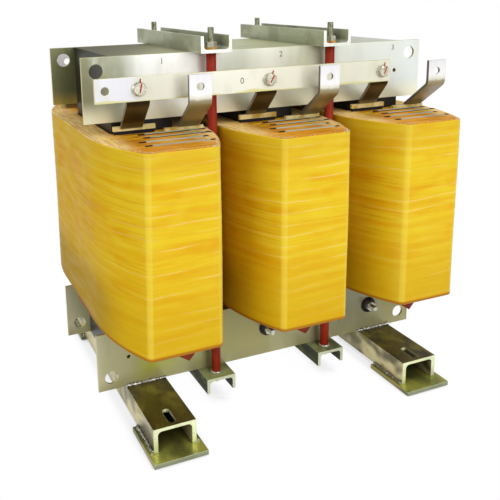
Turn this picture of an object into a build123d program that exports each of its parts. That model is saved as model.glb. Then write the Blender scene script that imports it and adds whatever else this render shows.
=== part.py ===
"""Three-phase dry-type transformer: open core-and-coil assembly on channel feet.

Axes: +X to the right along the core, -Y to the secondary terminals (front),
+Z up.  Origin: on the floor, under the middle of the assembly.  Millimetres.
"""
import os

from build123d import *

os.makedirs("parts", exist_ok=True)

# ---------------------------------------------------------------- core
LIMB_PITCH = 250.0
LIMB_WIDTH = 115.0
YOKE_HEIGHT = 115.0
WINDOW_HEIGHT = 397.0
STACK_DEPTH = 246.0
YOKE_LENGTH = 2 * LIMB_PITCH + LIMB_WIDTH

# ---------------------------------------------------------------- feet (UNP 80) and pads
FOOT_WEB = 80.0
FOOT_DEPTH = 45.0
FOOT_WEB_THICK = 6.0
FOOT_FLANGE_THICK = 8.0
FOOT_LENGTH = 566.0
FOOT_X = 264.0
FOOT_SLOT_WIDTH = 14.0
FOOT_SLOT_LENGTH = 44.0
FOOT_SLOT_Y = 253.0
PAD_THICK = 8.0
PAD_WIDTH = 100.0
PAD_LENGTH = 120.0
PAD_OUTER_Y = 313.0

# ---------------------------------------------------------------- cross channels (UNP 60)
CROSS_WEB = 60.0
CROSS_DEPTH = 30.0
CROSS_THICK = 6.0
CROSS_LENGTH = 350.0
CROSS_X = LIMB_PITCH / 2

# ---------------------------------------------------------------- clamp plates
PLATE_LENGTH = 714.0
PLATE_THICK = 5.0
LIFT_HOLE_DIA = 26.0
LIFT_HOLE_X = 331.0
LIFT_HOLE_EDGE = 25.0
SMALL_HOLE_DIA = 8.0
SMALL_HOLE_X = 296.0
SMALL_HOLE_EDGE = 60.0

# ---------------------------------------------------------------- bolts
ROD_DIA = 12.0
ROD_Y = 150.0
ROD_HOLE_DIA = 13.0
SLEEVE_DIA = 18.0
SLEEVE_BORE = 13.0
ROD_TAIL = 14.0
ROD_STICK_OUT = 38.0
NUT_FLATS = 19.0
NUT_HEIGHT = 10.0
WASHER_DIA = 24.0
WASHER_THICK = 2.5
YOKE_BOLT_DIA = 12.0
YOKE_BOLT_TAIL = 14.0
YOKE_WASHER_DIA = 34.0
YOKE_WASHER_THICK = 4.0

# ---------------------------------------------------------------- coils
COIL_BOTTOM = 196.0
COIL_TOP = 544.0
COIL_HALF_WIDTH = 111.0
COIL_FLAT_Y = 120.0
COIL_FRONT_Y = 306.0
COIL_FRONT_HALF = 67.6
COIL_CORNER = 14.0
COIL_RIM = 3.0
SPLIT_HALF_WIDTH = 92.0
SPLIT_FRONT_Y = 205.0
SPLIT_FRONT_HALF = 80.0
SPLIT_CORNER = 4.0
BORE_CLEARANCE = 3.0
BORE_HALF_X = LIMB_WIDTH / 2 + BORE_CLEARANCE
BORE_HALF_Y = STACK_DEPTH / 2 + BORE_CLEARANCE
BORE_CORNER = 6.0
DUCT_WIDTH = 8.0
DUCT_LENGTH = 122.0
DUCT_OFFSET_X = 14.0
INNER_DUCT_Y = (139.0, 160.0, 186.0)
OUTER_DUCT_Y = (227.0, 253.0)
STICK_LENGTH = 92.0
STICK_STAND = 2.0

# ---------------------------------------------------------------- leads and neutral bar
BAR_WIDTH = 40.0
BAR_THICK = 6.0
BEND_RADIUS = 9.0
LEAD_DEPTH = 30.0
PHASE_X = 57.0
PHASE_FOOT_Y = 201.0
PHASE_FACE_Y = 255.0
PHASE_TOP = 661.0
PRIMARY_X = -45.0
TERMINAL_HOLE_DIA = 14.0
TERMINAL_HOLE_DROP = 21.0
NEUTRAL_X = -55.0
NEUTRAL_FOOT_Y = 172.0
NEUTRAL_FACE_Y = 217.0
FOOT_RISE = 20.0
NEUTRAL_BAR_LEFT = -361.0
NEUTRAL_BAR_RIGHT = 213.0
NEUTRAL_BAR_Z = 634.0
NEUTRAL_TOP = NEUTRAL_BAR_Z + 16.0
NEUTRAL_BOLT_DIA = 12.0
LEAD_BLOCK_LENGTH = 72.0
LEAD_BLOCK_DEPTH = 16.0
LEAD_BLOCK_HEIGHT = 16.0

# ---------------------------------------------------------------- coil supports
WEDGE_DEPTH = 62.0
WEDGE_TOP = 130.0
WEDGE_BOTTOM = 75.0
WEDGE_HEIGHT = 64.0
WEDGE_X = 12.5
PACKER_WIDTH = 26.0
PACKER_LENGTH = 120.0
PACKER_X = 86.0

# ---------------------------------------------------------------- derived levels
FOOT_TOP = PAD_THICK + FOOT_DEPTH
LOWER_YOKE_Z = FOOT_TOP
LOWER_YOKE_TOP = LOWER_YOKE_Z + YOKE_HEIGHT
UPPER_YOKE_Z = LOWER_YOKE_TOP + WINDOW_HEIGHT
CORE_TOP = UPPER_YOKE_Z + YOKE_HEIGHT
PLATE_IN = STACK_DEPTH / 2
PLATE_OUT = PLATE_IN + PLATE_THICK
LOWER_BOLT_Z = LOWER_YOKE_Z + YOKE_HEIGHT / 2
UPPER_BOLT_Z = UPPER_YOKE_Z + YOKE_HEIGHT / 2

COILS = {"left": -LIMB_PITCH, "middle": 0.0, "right": LIMB_PITCH}
SIDES = {"left": -1, "right": 1}
ENDS = {"front": -1, "rear": 1}


# ================================================================ core
for side, x in COILS.items():
    with BuildPart() as limb:
        with BuildSketch(Plane.XY.offset(LOWER_YOKE_TOP)):
            with Locations((x, 0)):
                Rectangle(LIMB_WIDTH, STACK_DEPTH)
        extrude(amount=WINDOW_HEIGHT)
    limb.part.label = f"core_limb_{side}"
    export_step(limb.part, f"parts/core_limb_{side}.step")

for level, z in {"lower": LOWER_YOKE_Z, "upper": UPPER_YOKE_Z}.items():
    with BuildPart() as yoke:
        with BuildSketch(Plane.XY.offset(z)):
            Rectangle(YOKE_LENGTH, STACK_DEPTH)
        extrude(amount=YOKE_HEIGHT)
        with BuildSketch(Plane.XZ):
            with Locations((0, z + YOKE_HEIGHT / 2)):
                with GridLocations(LIMB_PITCH, 0, 3, 1):
                    Circle(YOKE_BOLT_DIA / 2)
        extrude(amount=STACK_DEPTH, both=True, mode=Mode.SUBTRACT)
    yoke.part.label = f"core_yoke_{level}"
    export_step(yoke.part, f"parts/core_yoke_{level}.step")

# ================================================================ clamp plates
for end, s in ENDS.items():
    for level, z in {"lower": LOWER_YOKE_Z, "upper": UPPER_YOKE_Z}.items():
        if level == "upper":
            lift_z = z + YOKE_HEIGHT - LIFT_HOLE_EDGE
            small_z = z + YOKE_HEIGHT - SMALL_HOLE_EDGE
        else:
            lift_z = z + LIFT_HOLE_EDGE
            small_z = z + SMALL_HOLE_EDGE
        with BuildPart() as plate:
            with BuildSketch(Plane.XZ.offset(-s * PLATE_OUT)):
                with Locations((0, z + YOKE_HEIGHT / 2)):
                    Rectangle(PLATE_LENGTH, YOKE_HEIGHT)
                    with GridLocations(LIMB_PITCH, 0, 3, 1):
                        Circle(YOKE_BOLT_DIA / 2, mode=Mode.SUBTRACT)
                with Locations((-LIFT_HOLE_X, lift_z), (LIFT_HOLE_X, lift_z)):
                    Circle(LIFT_HOLE_DIA / 2, mode=Mode.SUBTRACT)
                with Locations((-SMALL_HOLE_X, small_z), (SMALL_HOLE_X, small_z)):
                    Circle(SMALL_HOLE_DIA / 2, mode=Mode.SUBTRACT)
            extrude(amount=s * PLATE_THICK)
        plate.part.label = f"clamp_{level}_{end}"
        export_step(plate.part, f"parts/clamp_{level}_{end}.step")

# ================================================================ cross channels
for side, s in SIDES.items():
    for level, z, up in (("lower", LOWER_YOKE_Z, -1), ("upper", CORE_TOP, 1)):
        x = s * CROSS_X
        with BuildPart() as channel:
            with BuildSketch(Plane.XZ.offset(-CROSS_LENGTH / 2)) as section:
                with BuildLine():
                    Polyline(
                        (x - CROSS_WEB / 2, z),
                        (x + CROSS_WEB / 2, z),
                        (x + CROSS_WEB / 2, z + up * CROSS_DEPTH),
                        (x + CROSS_WEB / 2 - CROSS_THICK, z + up * CROSS_DEPTH),
                        (x + CROSS_WEB / 2 - CROSS_THICK, z + up * CROSS_THICK),
                        (x - CROSS_WEB / 2 + CROSS_THICK, z + up * CROSS_THICK),
                        (x - CROSS_WEB / 2 + CROSS_THICK, z + up * CROSS_DEPTH),
                        (x - CROSS_WEB / 2, z + up * CROSS_DEPTH),
                        close=True,
                    )
                make_face()
                fillet(section.vertices().group_by(Axis.Y)[1], radius=CROSS_THICK)
            extrude(amount=CROSS_LENGTH)
            with BuildSketch(Plane.XY.offset(z)):
                with Locations((x, -ROD_Y), (x, ROD_Y)):
                    Circle(ROD_HOLE_DIA / 2)
            extrude(amount=up * CROSS_THICK * 2, mode=Mode.SUBTRACT)
        channel.part.label = f"channel_{level}_{side}"
        export_step(channel.part, f"parts/channel_{level}_{side}.step")

# ================================================================ feet and pads
for side, s in SIDES.items():
    x = s * FOOT_X
    with BuildPart() as foot:
        with BuildSketch(Plane.XZ.offset(-FOOT_LENGTH / 2)) as section:
            with BuildLine():
                Polyline(
                    (x - FOOT_WEB / 2, FOOT_TOP),
                    (x + FOOT_WEB / 2, FOOT_TOP),
                    (x + FOOT_WEB / 2, PAD_THICK),
                    (x + FOOT_WEB / 2 - FOOT_FLANGE_THICK, PAD_THICK),
                    (x + FOOT_WEB / 2 - FOOT_FLANGE_THICK, FOOT_TOP - FOOT_WEB_THICK),
                    (x - FOOT_WEB / 2 + FOOT_FLANGE_THICK, FOOT_TOP - FOOT_WEB_THICK),
                    (x - FOOT_WEB / 2 + FOOT_FLANGE_THICK, PAD_THICK),
                    (x - FOOT_WEB / 2, PAD_THICK),
                    close=True,
                )
            make_face()
            fillet(section.vertices().group_by(Axis.Y)[1], radius=FOOT_FLANGE_THICK)
        extrude(amount=FOOT_LENGTH)
        with BuildSketch(Plane.XY.offset(FOOT_TOP)):
            with Locations((x, -FOOT_SLOT_Y), (x, FOOT_SLOT_Y)):
                SlotOverall(FOOT_SLOT_LENGTH, FOOT_SLOT_WIDTH, rotation=90)
        extrude(amount=-FOOT_WEB_THICK * 2, mode=Mode.SUBTRACT)
    foot.part.label = f"foot_{side}"
    export_step(foot.part, f"parts/foot_{side}.step")

    for end, e in ENDS.items():
        with BuildPart() as pad:
            with BuildSketch(Plane.XY):
                with Locations((x, e * (PAD_OUTER_Y - PAD_LENGTH / 2))):
                    Rectangle(PAD_WIDTH, PAD_LENGTH)
            extrude(amount=PAD_THICK)
        pad.part.label = f"pad_{end}_{side}"
        export_step(pad.part, f"parts/pad_{end}_{side}.step")

# ================================================================ tie rods and sleeves
for side, s in SIDES.items():
    for end, e in ENDS.items():
        with BuildPart() as rod:
            with BuildSketch(Plane.XY.offset(FOOT_TOP - CROSS_THICK - ROD_TAIL)):
                with Locations((s * CROSS_X, e * ROD_Y)):
                    Circle(ROD_DIA / 2)
            extrude(amount=CORE_TOP - FOOT_TOP + 2 * CROSS_THICK + ROD_TAIL + ROD_STICK_OUT)
        rod.part.label = f"tie_rod_{end}_{side}"
        export_step(rod.part, f"parts/tie_rod_{end}_{side}.step")

        with BuildPart() as sleeve:
            with BuildSketch(Plane.XY.offset(FOOT_TOP)):
                with Locations((s * CROSS_X, e * ROD_Y)):
                    Circle(SLEEVE_DIA / 2)
                    Circle(SLEEVE_BORE / 2, mode=Mode.SUBTRACT)
            extrude(amount=CORE_TOP - FOOT_TOP)
        sleeve.part.label = f"rod_sleeve_{end}_{side}"
        export_step(sleeve.part, f"parts/rod_sleeve_{end}_{side}.step")

with BuildPart() as rod_washers:
    with BuildSketch(Plane.XY.offset(CORE_TOP + CROSS_THICK)):
        with GridLocations(2 * CROSS_X, 2 * ROD_Y, 2, 2):
            Circle(WASHER_DIA / 2)
            Circle(ROD_DIA / 2, mode=Mode.SUBTRACT)
    extrude(amount=WASHER_THICK)
rod_washers.part.label = "rod_washers"
export_step(rod_washers.part, "parts/rod_washers.step")

with BuildPart() as rod_nuts:
    with BuildSketch(Plane.XY.offset(CORE_TOP + CROSS_THICK + WASHER_THICK)):
        with GridLocations(2 * CROSS_X, 2 * ROD_Y, 2, 2):
            RegularPolygon(NUT_FLATS / 2, 6, major_radius=False)
            Circle(ROD_DIA / 2, mode=Mode.SUBTRACT)
    extrude(amount=NUT_HEIGHT)
    with BuildSketch(Plane.XY.offset(FOOT_TOP - CROSS_THICK)):
        with GridLocations(2 * CROSS_X, 2 * ROD_Y, 2, 2):
            RegularPolygon(NUT_FLATS / 2, 6, major_radius=False)
            Circle(ROD_DIA / 2, mode=Mode.SUBTRACT)
    extrude(amount=-NUT_HEIGHT)
rod_nuts.part.label = "rod_nuts"
export_step(rod_nuts.part, "parts/rod_nuts.step")

# ================================================================ yoke bolts
BOLT_HALF = PLATE_OUT + YOKE_WASHER_THICK + NUT_HEIGHT + YOKE_BOLT_TAIL
with BuildPart() as yoke_bolts:
    with BuildSketch(Plane.XZ.offset(-BOLT_HALF)):
        for z in (LOWER_BOLT_Z, UPPER_BOLT_Z):
            with Locations((0, z)):
                with GridLocations(LIMB_PITCH, 0, 3, 1):
                    Circle(YOKE_BOLT_DIA / 2)
    extrude(amount=2 * BOLT_HALF)
yoke_bolts.part.label = "yoke_bolts"
export_step(yoke_bolts.part, "parts/yoke_bolts.step")

with BuildPart() as yoke_washers:
    for face in (PLATE_OUT, -PLATE_OUT - YOKE_WASHER_THICK):
        with BuildSketch(Plane.XZ.offset(face)):
            for z in (LOWER_BOLT_Z, UPPER_BOLT_Z):
                with Locations((0, z)):
                    with GridLocations(LIMB_PITCH, 0, 3, 1):
                        Circle(YOKE_WASHER_DIA / 2)
                        Circle(YOKE_BOLT_DIA / 2, mode=Mode.SUBTRACT)
        extrude(amount=YOKE_WASHER_THICK)
yoke_washers.part.label = "yoke_washers"
export_step(yoke_washers.part, "parts/yoke_washers.step")

with BuildPart() as yoke_nuts:
    for face in (PLATE_OUT + YOKE_WASHER_THICK, -PLATE_OUT - YOKE_WASHER_THICK - NUT_HEIGHT):
        with BuildSketch(Plane.XZ.offset(face)):
            for z in (LOWER_BOLT_Z, UPPER_BOLT_Z):
                with Locations((0, z)):
                    with GridLocations(LIMB_PITCH, 0, 3, 1):
                        RegularPolygon(NUT_FLATS / 2, 6, major_radius=False)
                        Circle(YOKE_BOLT_DIA / 2, mode=Mode.SUBTRACT)
        extrude(amount=NUT_HEIGHT)
yoke_nuts.part.label = "yoke_nuts"
export_step(yoke_nuts.part, "parts/yoke_nuts.step")

# ================================================================ coils
def coil_plan(half_x, front_half, front_y, corner):
    """Barrel-shaped plan of a winding: flat sides, curved shoulders, flat front and rear."""
    with BuildSketch(mode=Mode.PRIVATE) as plan:
        with BuildLine():
            Line((half_x, 0), (half_x, COIL_FLAT_Y))
            TangentArc((half_x, COIL_FLAT_Y), (front_half, front_y), tangent=(0, 1))
            Line((front_half, front_y), (0, front_y))
            mirror(about=Plane.YZ)
            mirror(about=Plane.XZ)
        make_face()
        fillet(plan.vertices().group_by(Axis.Y)[0], radius=corner)
        fillet(plan.vertices().group_by(Axis.Y)[-1], radius=corner)
    return plan.sketch


outer_plan = coil_plan(COIL_HALF_WIDTH, COIL_FRONT_HALF, COIL_FRONT_Y, COIL_CORNER)
split_plan = coil_plan(SPLIT_HALF_WIDTH, SPLIT_FRONT_HALF, SPLIT_FRONT_Y, SPLIT_CORNER)

for side, x in COILS.items():
    with BuildPart() as outer:
        with BuildSketch(Plane.XY.offset(COIL_BOTTOM)):
            with Locations((x, 0)):
                add(outer_plan)
        extrude(amount=COIL_TOP - COIL_BOTTOM)
        rims = outer.edges().group_by(Axis.Z)[0] + outer.edges().group_by(Axis.Z)[-1]
        chamfer(rims, length=COIL_RIM)
        with BuildSketch(Plane.XY.offset(COIL_BOTTOM)):
            with Locations((x, 0)):
                add(split_plan)
            for y in OUTER_DUCT_Y:
                with Locations((x + DUCT_OFFSET_X, -y), (x + DUCT_OFFSET_X, y)):
                    Rectangle(DUCT_LENGTH, DUCT_WIDTH)
        extrude(amount=COIL_TOP - COIL_BOTTOM, mode=Mode.SUBTRACT)
    outer.part.label = f"winding_outer_{side}"
    export_step(outer.part, f"parts/winding_outer_{side}.step")

    with BuildPart() as inner:
        with BuildSketch(Plane.XY.offset(COIL_BOTTOM)):
            with Locations((x, 0)):
                add(split_plan)
                RectangleRounded(2 * BORE_HALF_X, 2 * BORE_HALF_Y, BORE_CORNER, mode=Mode.SUBTRACT)
            for y in INNER_DUCT_Y:
                with Locations((x + DUCT_OFFSET_X, -y), (x + DUCT_OFFSET_X, y)):
                    Rectangle(DUCT_LENGTH, DUCT_WIDTH, mode=Mode.SUBTRACT)
        extrude(amount=COIL_TOP - COIL_BOTTOM)
        with BuildSketch(Plane.XY.offset(COIL_TOP)):
            with Locations((x + PHASE_X, -PHASE_FOOT_Y), (x + NEUTRAL_X, -NEUTRAL_FOOT_Y)):
                Rectangle(BAR_WIDTH, BAR_THICK)
            with Locations((x + PRIMARY_X, PHASE_FOOT_Y)):
                Rectangle(BAR_WIDTH, BAR_THICK)
        extrude(amount=-LEAD_DEPTH, mode=Mode.SUBTRACT)
    inner.part.label = f"winding_inner_{side}"
    export_step(inner.part, f"parts/winding_inner_{side}.step")

    with BuildPart() as sticks:
        with BuildSketch(Plane.XY.offset(COIL_BOTTOM)):
            for y in INNER_DUCT_Y + OUTER_DUCT_Y:
                with Locations((x + DUCT_OFFSET_X, -y), (x + DUCT_OFFSET_X, y)):
                    Rectangle(STICK_LENGTH, DUCT_WIDTH)
        extrude(amount=COIL_TOP - COIL_BOTTOM + STICK_STAND)
    sticks.part.label = f"duct_spacers_{side}"
    export_step(sticks.part, f"parts/duct_spacers_{side}.step")

    # secondary phase terminal: flat bar bent forward, then up in front of the clamp
    rise_z = COIL_TOP + FOOT_RISE
    run = PHASE_FACE_Y - PHASE_FOOT_Y
    with BuildPart() as phase_lead:
        with BuildLine():
            FilletPolyline(
                (x + PHASE_X, -PHASE_FOOT_Y, COIL_TOP - LEAD_DEPTH),
                (x + PHASE_X, -PHASE_FOOT_Y, rise_z),
                (x + PHASE_X, -PHASE_FACE_Y, rise_z + run),
                (x + PHASE_X, -PHASE_FACE_Y, PHASE_TOP),
                radius=BEND_RADIUS,
            )
        with BuildSketch(Plane.XY.offset(COIL_TOP - LEAD_DEPTH)):
            with Locations((x + PHASE_X, -PHASE_FOOT_Y)):
                Rectangle(BAR_WIDTH, BAR_THICK)
        sweep()
        with BuildSketch(Plane.XZ.offset(PHASE_FACE_Y - BAR_THICK)):
            with Locations((x + PHASE_X, PHASE_TOP - TERMINAL_HOLE_DROP)):
                Circle(TERMINAL_HOLE_DIA / 2)
        extrude(amount=2 * BAR_THICK, mode=Mode.SUBTRACT)
    phase_lead.part.label = f"phase_lead_{side}"
    export_step(phase_lead.part, f"parts/phase_lead_{side}.step")

    # star-point lead: same bar, bent up behind the neutral bar
    run = NEUTRAL_FACE_Y - NEUTRAL_FOOT_Y
    with BuildPart() as neutral_lead:
        with BuildLine():
            FilletPolyline(
                (x + NEUTRAL_X, -NEUTRAL_FOOT_Y, COIL_TOP - LEAD_DEPTH),
                (x + NEUTRAL_X, -NEUTRAL_FOOT_Y, rise_z),
                (x + NEUTRAL_X, -NEUTRAL_FACE_Y, rise_z + run),
                (x + NEUTRAL_X, -NEUTRAL_FACE_Y, NEUTRAL_TOP),
                radius=BEND_RADIUS,
            )
        with BuildSketch(Plane.XY.offset(COIL_TOP - LEAD_DEPTH)):
            with Locations((x + NEUTRAL_X, -NEUTRAL_FOOT_Y)):
                Rectangle(BAR_WIDTH, BAR_THICK)
        sweep()
        with BuildSketch(Plane.XZ.offset(NEUTRAL_FACE_Y - BAR_THICK)):
            with Locations((x + NEUTRAL_X, NEUTRAL_BAR_Z)):
                Circle(NEUTRAL_BOLT_DIA / 2)
        extrude(amount=2 * BAR_THICK, mode=Mode.SUBTRACT)
    neutral_lead.part.label = f"neutral_lead_{side}"
    export_step(neutral_lead.part, f"parts/neutral_lead_{side}.step")

    with BuildPart() as blocks:
        with BuildSketch(Plane.XY.offset(COIL_TOP)):
            with Locations((x + PHASE_X, -PHASE_FOOT_Y), (x + NEUTRAL_X, -NEUTRAL_FOOT_Y)):
                Rectangle(LEAD_BLOCK_LENGTH, LEAD_BLOCK_DEPTH)
                Rectangle(BAR_WIDTH, BAR_THICK, mode=Mode.SUBTRACT)
            with Locations((x + PRIMARY_X, PHASE_FOOT_Y)):
                Rectangle(LEAD_BLOCK_LENGTH, LEAD_BLOCK_DEPTH)
                Rectangle(BAR_WIDTH, BAR_THICK, mode=Mode.SUBTRACT)
        extrude(amount=LEAD_BLOCK_HEIGHT)
    blocks.part.label = f"lead_blocks_{side}"
    export_step(blocks.part, f"parts/lead_blocks_{side}.step")

    # tapered laminate blocks under the overhangs, packers between yoke and coil
    with BuildPart() as supports:
        for face in (PLATE_OUT, -PLATE_OUT - WEDGE_DEPTH):
            with BuildSketch(Plane.XZ.offset(face)):
                with BuildLine():
                    Polyline(
                        (x + WEDGE_X - WEDGE_TOP / 2, COIL_BOTTOM),
                        (x + WEDGE_X + WEDGE_TOP / 2, COIL_BOTTOM),
                        (x + WEDGE_X + WEDGE_BOTTOM / 2, COIL_BOTTOM - WEDGE_HEIGHT),
                        (x + WEDGE_X - WEDGE_BOTTOM / 2, COIL_BOTTOM - WEDGE_HEIGHT),
                        close=True,
                    )
                make_face()
            extrude(amount=WEDGE_DEPTH)
        with BuildSketch(Plane.XY.offset(LOWER_YOKE_TOP)):
            with Locations((x, 0)):
                with GridLocations(2 * PACKER_X, 0, 2, 1):
                    Rectangle(PACKER_WIDTH, PACKER_LENGTH)
        extrude(amount=COIL_BOTTOM - LOWER_YOKE_TOP)
    supports.part.label = f"coil_supports_{side}"
    export_step(supports.part, f"parts/coil_supports_{side}.step")

# ================================================================ primary terminals (rear)
with BuildPart() as primary_leads:
    for x in COILS.values():
        with BuildLine() as path:
            FilletPolyline(
                (x + PRIMARY_X, PHASE_FOOT_Y, COIL_TOP - LEAD_DEPTH),
                (x + PRIMARY_X, PHASE_FOOT_Y, COIL_TOP + FOOT_RISE),
                (x + PRIMARY_X, PHASE_FACE_Y, COIL_TOP + FOOT_RISE + PHASE_FACE_Y - PHASE_FOOT_Y),
                (x + PRIMARY_X, PHASE_FACE_Y, PHASE_TOP),
                radius=BEND_RADIUS,
            )
        with BuildSketch(Plane.XY.offset(COIL_TOP - LEAD_DEPTH)) as section:
            with Locations((x + PRIMARY_X, PHASE_FOOT_Y)):
                Rectangle(BAR_WIDTH, BAR_THICK)
        sweep(section.sketch, path=path.line)
        with BuildSketch(Plane.XZ.offset(-PHASE_FACE_Y - BAR_THICK)):
            with Locations((x + PRIMARY_X, PHASE_TOP - TERMINAL_HOLE_DROP)):
                Circle(TERMINAL_HOLE_DIA / 2)
        extrude(amount=2 * BAR_THICK, mode=Mode.SUBTRACT)
primary_leads.part.label = "primary_leads"
export_step(primary_leads.part, "parts/primary_leads.step")

# ================================================================ neutral bar
BAR_FRONT_Y = NEUTRAL_FACE_Y + BAR_THICK / 2 + BAR_THICK
BAR_LENGTH = NEUTRAL_BAR_RIGHT - NEUTRAL_BAR_LEFT
BOLT_XS = [x + NEUTRAL_X for x in COILS.values()]
with BuildPart() as neutral_bar:
    with BuildSketch(Plane.XZ.offset(BAR_FRONT_Y - BAR_THICK)):
        with Locations(((NEUTRAL_BAR_LEFT + NEUTRAL_BAR_RIGHT) / 2, NEUTRAL_BAR_Z)):
            Rectangle(BAR_LENGTH, BAR_WIDTH)
        for bolt_x in BOLT_XS:
            with Locations((bolt_x, NEUTRAL_BAR_Z)):
                Circle(NEUTRAL_BOLT_DIA / 2, mode=Mode.SUBTRACT)
        with Locations((NEUTRAL_BAR_LEFT + 25, NEUTRAL_BAR_Z)):
            Circle(TERMINAL_HOLE_DIA / 2, mode=Mode.SUBTRACT)
    extrude(amount=BAR_THICK)
neutral_bar.part.label = "neutral_bar"
export_step(neutral_bar.part, "parts/neutral_bar.step")

LEAD_BACK_Y = NEUTRAL_FACE_Y - BAR_THICK / 2
with BuildPart() as neutral_washers:
    with BuildSketch(Plane.XZ.offset(BAR_FRONT_Y)):
        for bolt_x in BOLT_XS:
            with Locations((bolt_x, NEUTRAL_BAR_Z)):
                Circle(WASHER_DIA / 2)
                Circle(NEUTRAL_BOLT_DIA / 2, mode=Mode.SUBTRACT)
    extrude(amount=WASHER_THICK)
neutral_washers.part.label = "neutral_washers"
export_step(neutral_washers.part, "parts/neutral_washers.step")

with BuildPart() as neutral_bolts:
    with BuildSketch(Plane.XZ.offset(BAR_FRONT_Y + WASHER_THICK)):
        for bolt_x in BOLT_XS:
            with Locations((bolt_x, NEUTRAL_BAR_Z)):
                RegularPolygon(NUT_FLATS / 2, 6, major_radius=False)
    extrude(amount=7.5)
    with BuildSketch(Plane.XZ.offset(LEAD_BACK_Y - NUT_HEIGHT - 3)):
        for bolt_x in BOLT_XS:
            with Locations((bolt_x, NEUTRAL_BAR_Z)):
                Circle(NEUTRAL_BOLT_DIA / 2)
    extrude(amount=BAR_FRONT_Y - LEAD_BACK_Y + WASHER_THICK + NUT_HEIGHT + 3)
neutral_bolts.part.label = "neutral_bolts"
export_step(neutral_bolts.part, "parts/neutral_bolts.step")

with BuildPart() as neutral_nuts:
    with BuildSketch(Plane.XZ.offset(LEAD_BACK_Y - NUT_HEIGHT)):
        for bolt_x in BOLT_XS:
            with Locations((bolt_x, NEUTRAL_BAR_Z)):
                RegularPolygon(NUT_FLATS / 2, 6, major_radius=False)
                Circle(NEUTRAL_BOLT_DIA / 2, mode=Mode.SUBTRACT)
    extrude(amount=NUT_HEIGHT)
neutral_nuts.part.label = "neutral_nuts"
export_step(neutral_nuts.part, "parts/neutral_nuts.step")

# ================================================================ welds
WELD = 6.0
with BuildPart() as weld_beads:
    for s in SIDES.values():
        for e in ENDS.values():
            # along the clamp plate's foot, on top of the foot channel
            with BuildSketch(Plane.YZ.offset(s * FOOT_X - FOOT_WEB / 2)):
                with BuildLine():
                    Polyline(
                        (e * PLATE_OUT, FOOT_TOP),
                        (e * (PLATE_OUT + WELD), FOOT_TOP),
                        (e * (PLATE_OUT + WELD * 0.6), FOOT_TOP + WELD * 0.6),
                        (e * PLATE_OUT, FOOT_TOP + WELD),
                        close=True,
                    )
                make_face()
            extrude(amount=FOOT_WEB)
            # along both flanges of the foot channel, on the pad
            for f in (-1, 1):
                flange_x = s * FOOT_X + f * FOOT_WEB / 2
                with BuildSketch(Plane.XZ.offset(-e * (PAD_OUTER_Y - PAD_LENGTH))):
                    with BuildLine():
                        Polyline(
                            (flange_x, PAD_THICK),
                            (flange_x + f * WELD, PAD_THICK),
                            (flange_x + f * WELD * 0.6, PAD_THICK + WELD * 0.6),
                            (flange_x, PAD_THICK + WELD),
                            close=True,
                        )
                    make_face()
                extrude(amount=-e * (FOOT_LENGTH / 2 - PAD_OUTER_Y + PAD_LENGTH))
weld_beads.part.label = "weld_beads"
export_step(weld_beads.part, "parts/weld_beads.step")
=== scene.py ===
"""Blender dressing of an open three-phase dry-type transformer.

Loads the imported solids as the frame, adds the surface detail that solids leave
out (wound tape, threads, chamfered nuts, weld ripple, frayed fibres, number
marks) and gives every piece a node-based finish.  Sizes are in millimetres and
are scaled to metres where a mesh is written.
"""

import logging
import math
import random
from dataclasses import dataclass
from enum import Enum
from functools import cache
from typing import Callable, Iterable, Sequence

import bmesh
import bpy
from mathutils import Matrix, Vector

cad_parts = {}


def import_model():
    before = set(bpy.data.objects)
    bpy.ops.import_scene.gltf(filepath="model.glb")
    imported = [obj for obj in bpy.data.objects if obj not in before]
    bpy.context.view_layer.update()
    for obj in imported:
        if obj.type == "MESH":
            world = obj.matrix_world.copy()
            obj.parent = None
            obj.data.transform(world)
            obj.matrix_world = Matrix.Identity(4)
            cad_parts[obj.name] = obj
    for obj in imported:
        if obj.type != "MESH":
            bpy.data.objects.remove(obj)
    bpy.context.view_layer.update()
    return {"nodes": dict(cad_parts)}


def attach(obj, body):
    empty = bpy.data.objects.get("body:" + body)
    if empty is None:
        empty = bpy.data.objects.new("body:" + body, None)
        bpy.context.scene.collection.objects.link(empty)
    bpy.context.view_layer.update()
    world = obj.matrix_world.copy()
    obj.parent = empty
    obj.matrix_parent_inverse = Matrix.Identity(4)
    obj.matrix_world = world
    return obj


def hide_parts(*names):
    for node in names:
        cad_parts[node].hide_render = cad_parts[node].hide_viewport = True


LOG = logging.getLogger("transformer")
MM = 0.001
BODY = "root"
BOLT_RADIUS = 6.0
BOLT_BORE = 6.1
NUT_FLATS = 19.0
NUT_HEIGHT = 10.0
WASHER_RADIUS = 12.0
TERMINAL_HOLE = 14.0
PLATE_FACE = 128.0
FOOT_X = 264.0
COIL_TOP = 544.0
TAPE_PITCH = 19.5
TAPE_SLOPE = 0.035

Point = tuple[float, float]
Place = tuple[float, float, float]
Colour = tuple[float, float, float]
Stops = tuple[tuple[float, Colour], ...]
Sockets = dict[str, str]
Material = bpy.types.Material
Node = bpy.types.Node
Socket = bpy.types.NodeSocket
Vert = bmesh.types.BMVert
Ring = Sequence[Vert]
Finishes = dict[str, Material]


class Side(Enum):
    """The three coils, by their place along the core; the value is the coil's centre in mm."""

    LEFT = -250.0
    MIDDLE = 0.0
    RIGHT = 250.0

    @property
    def label(self) -> str:
        """Lower-case name, as the solids use it."""
        return self.name.lower()


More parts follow.
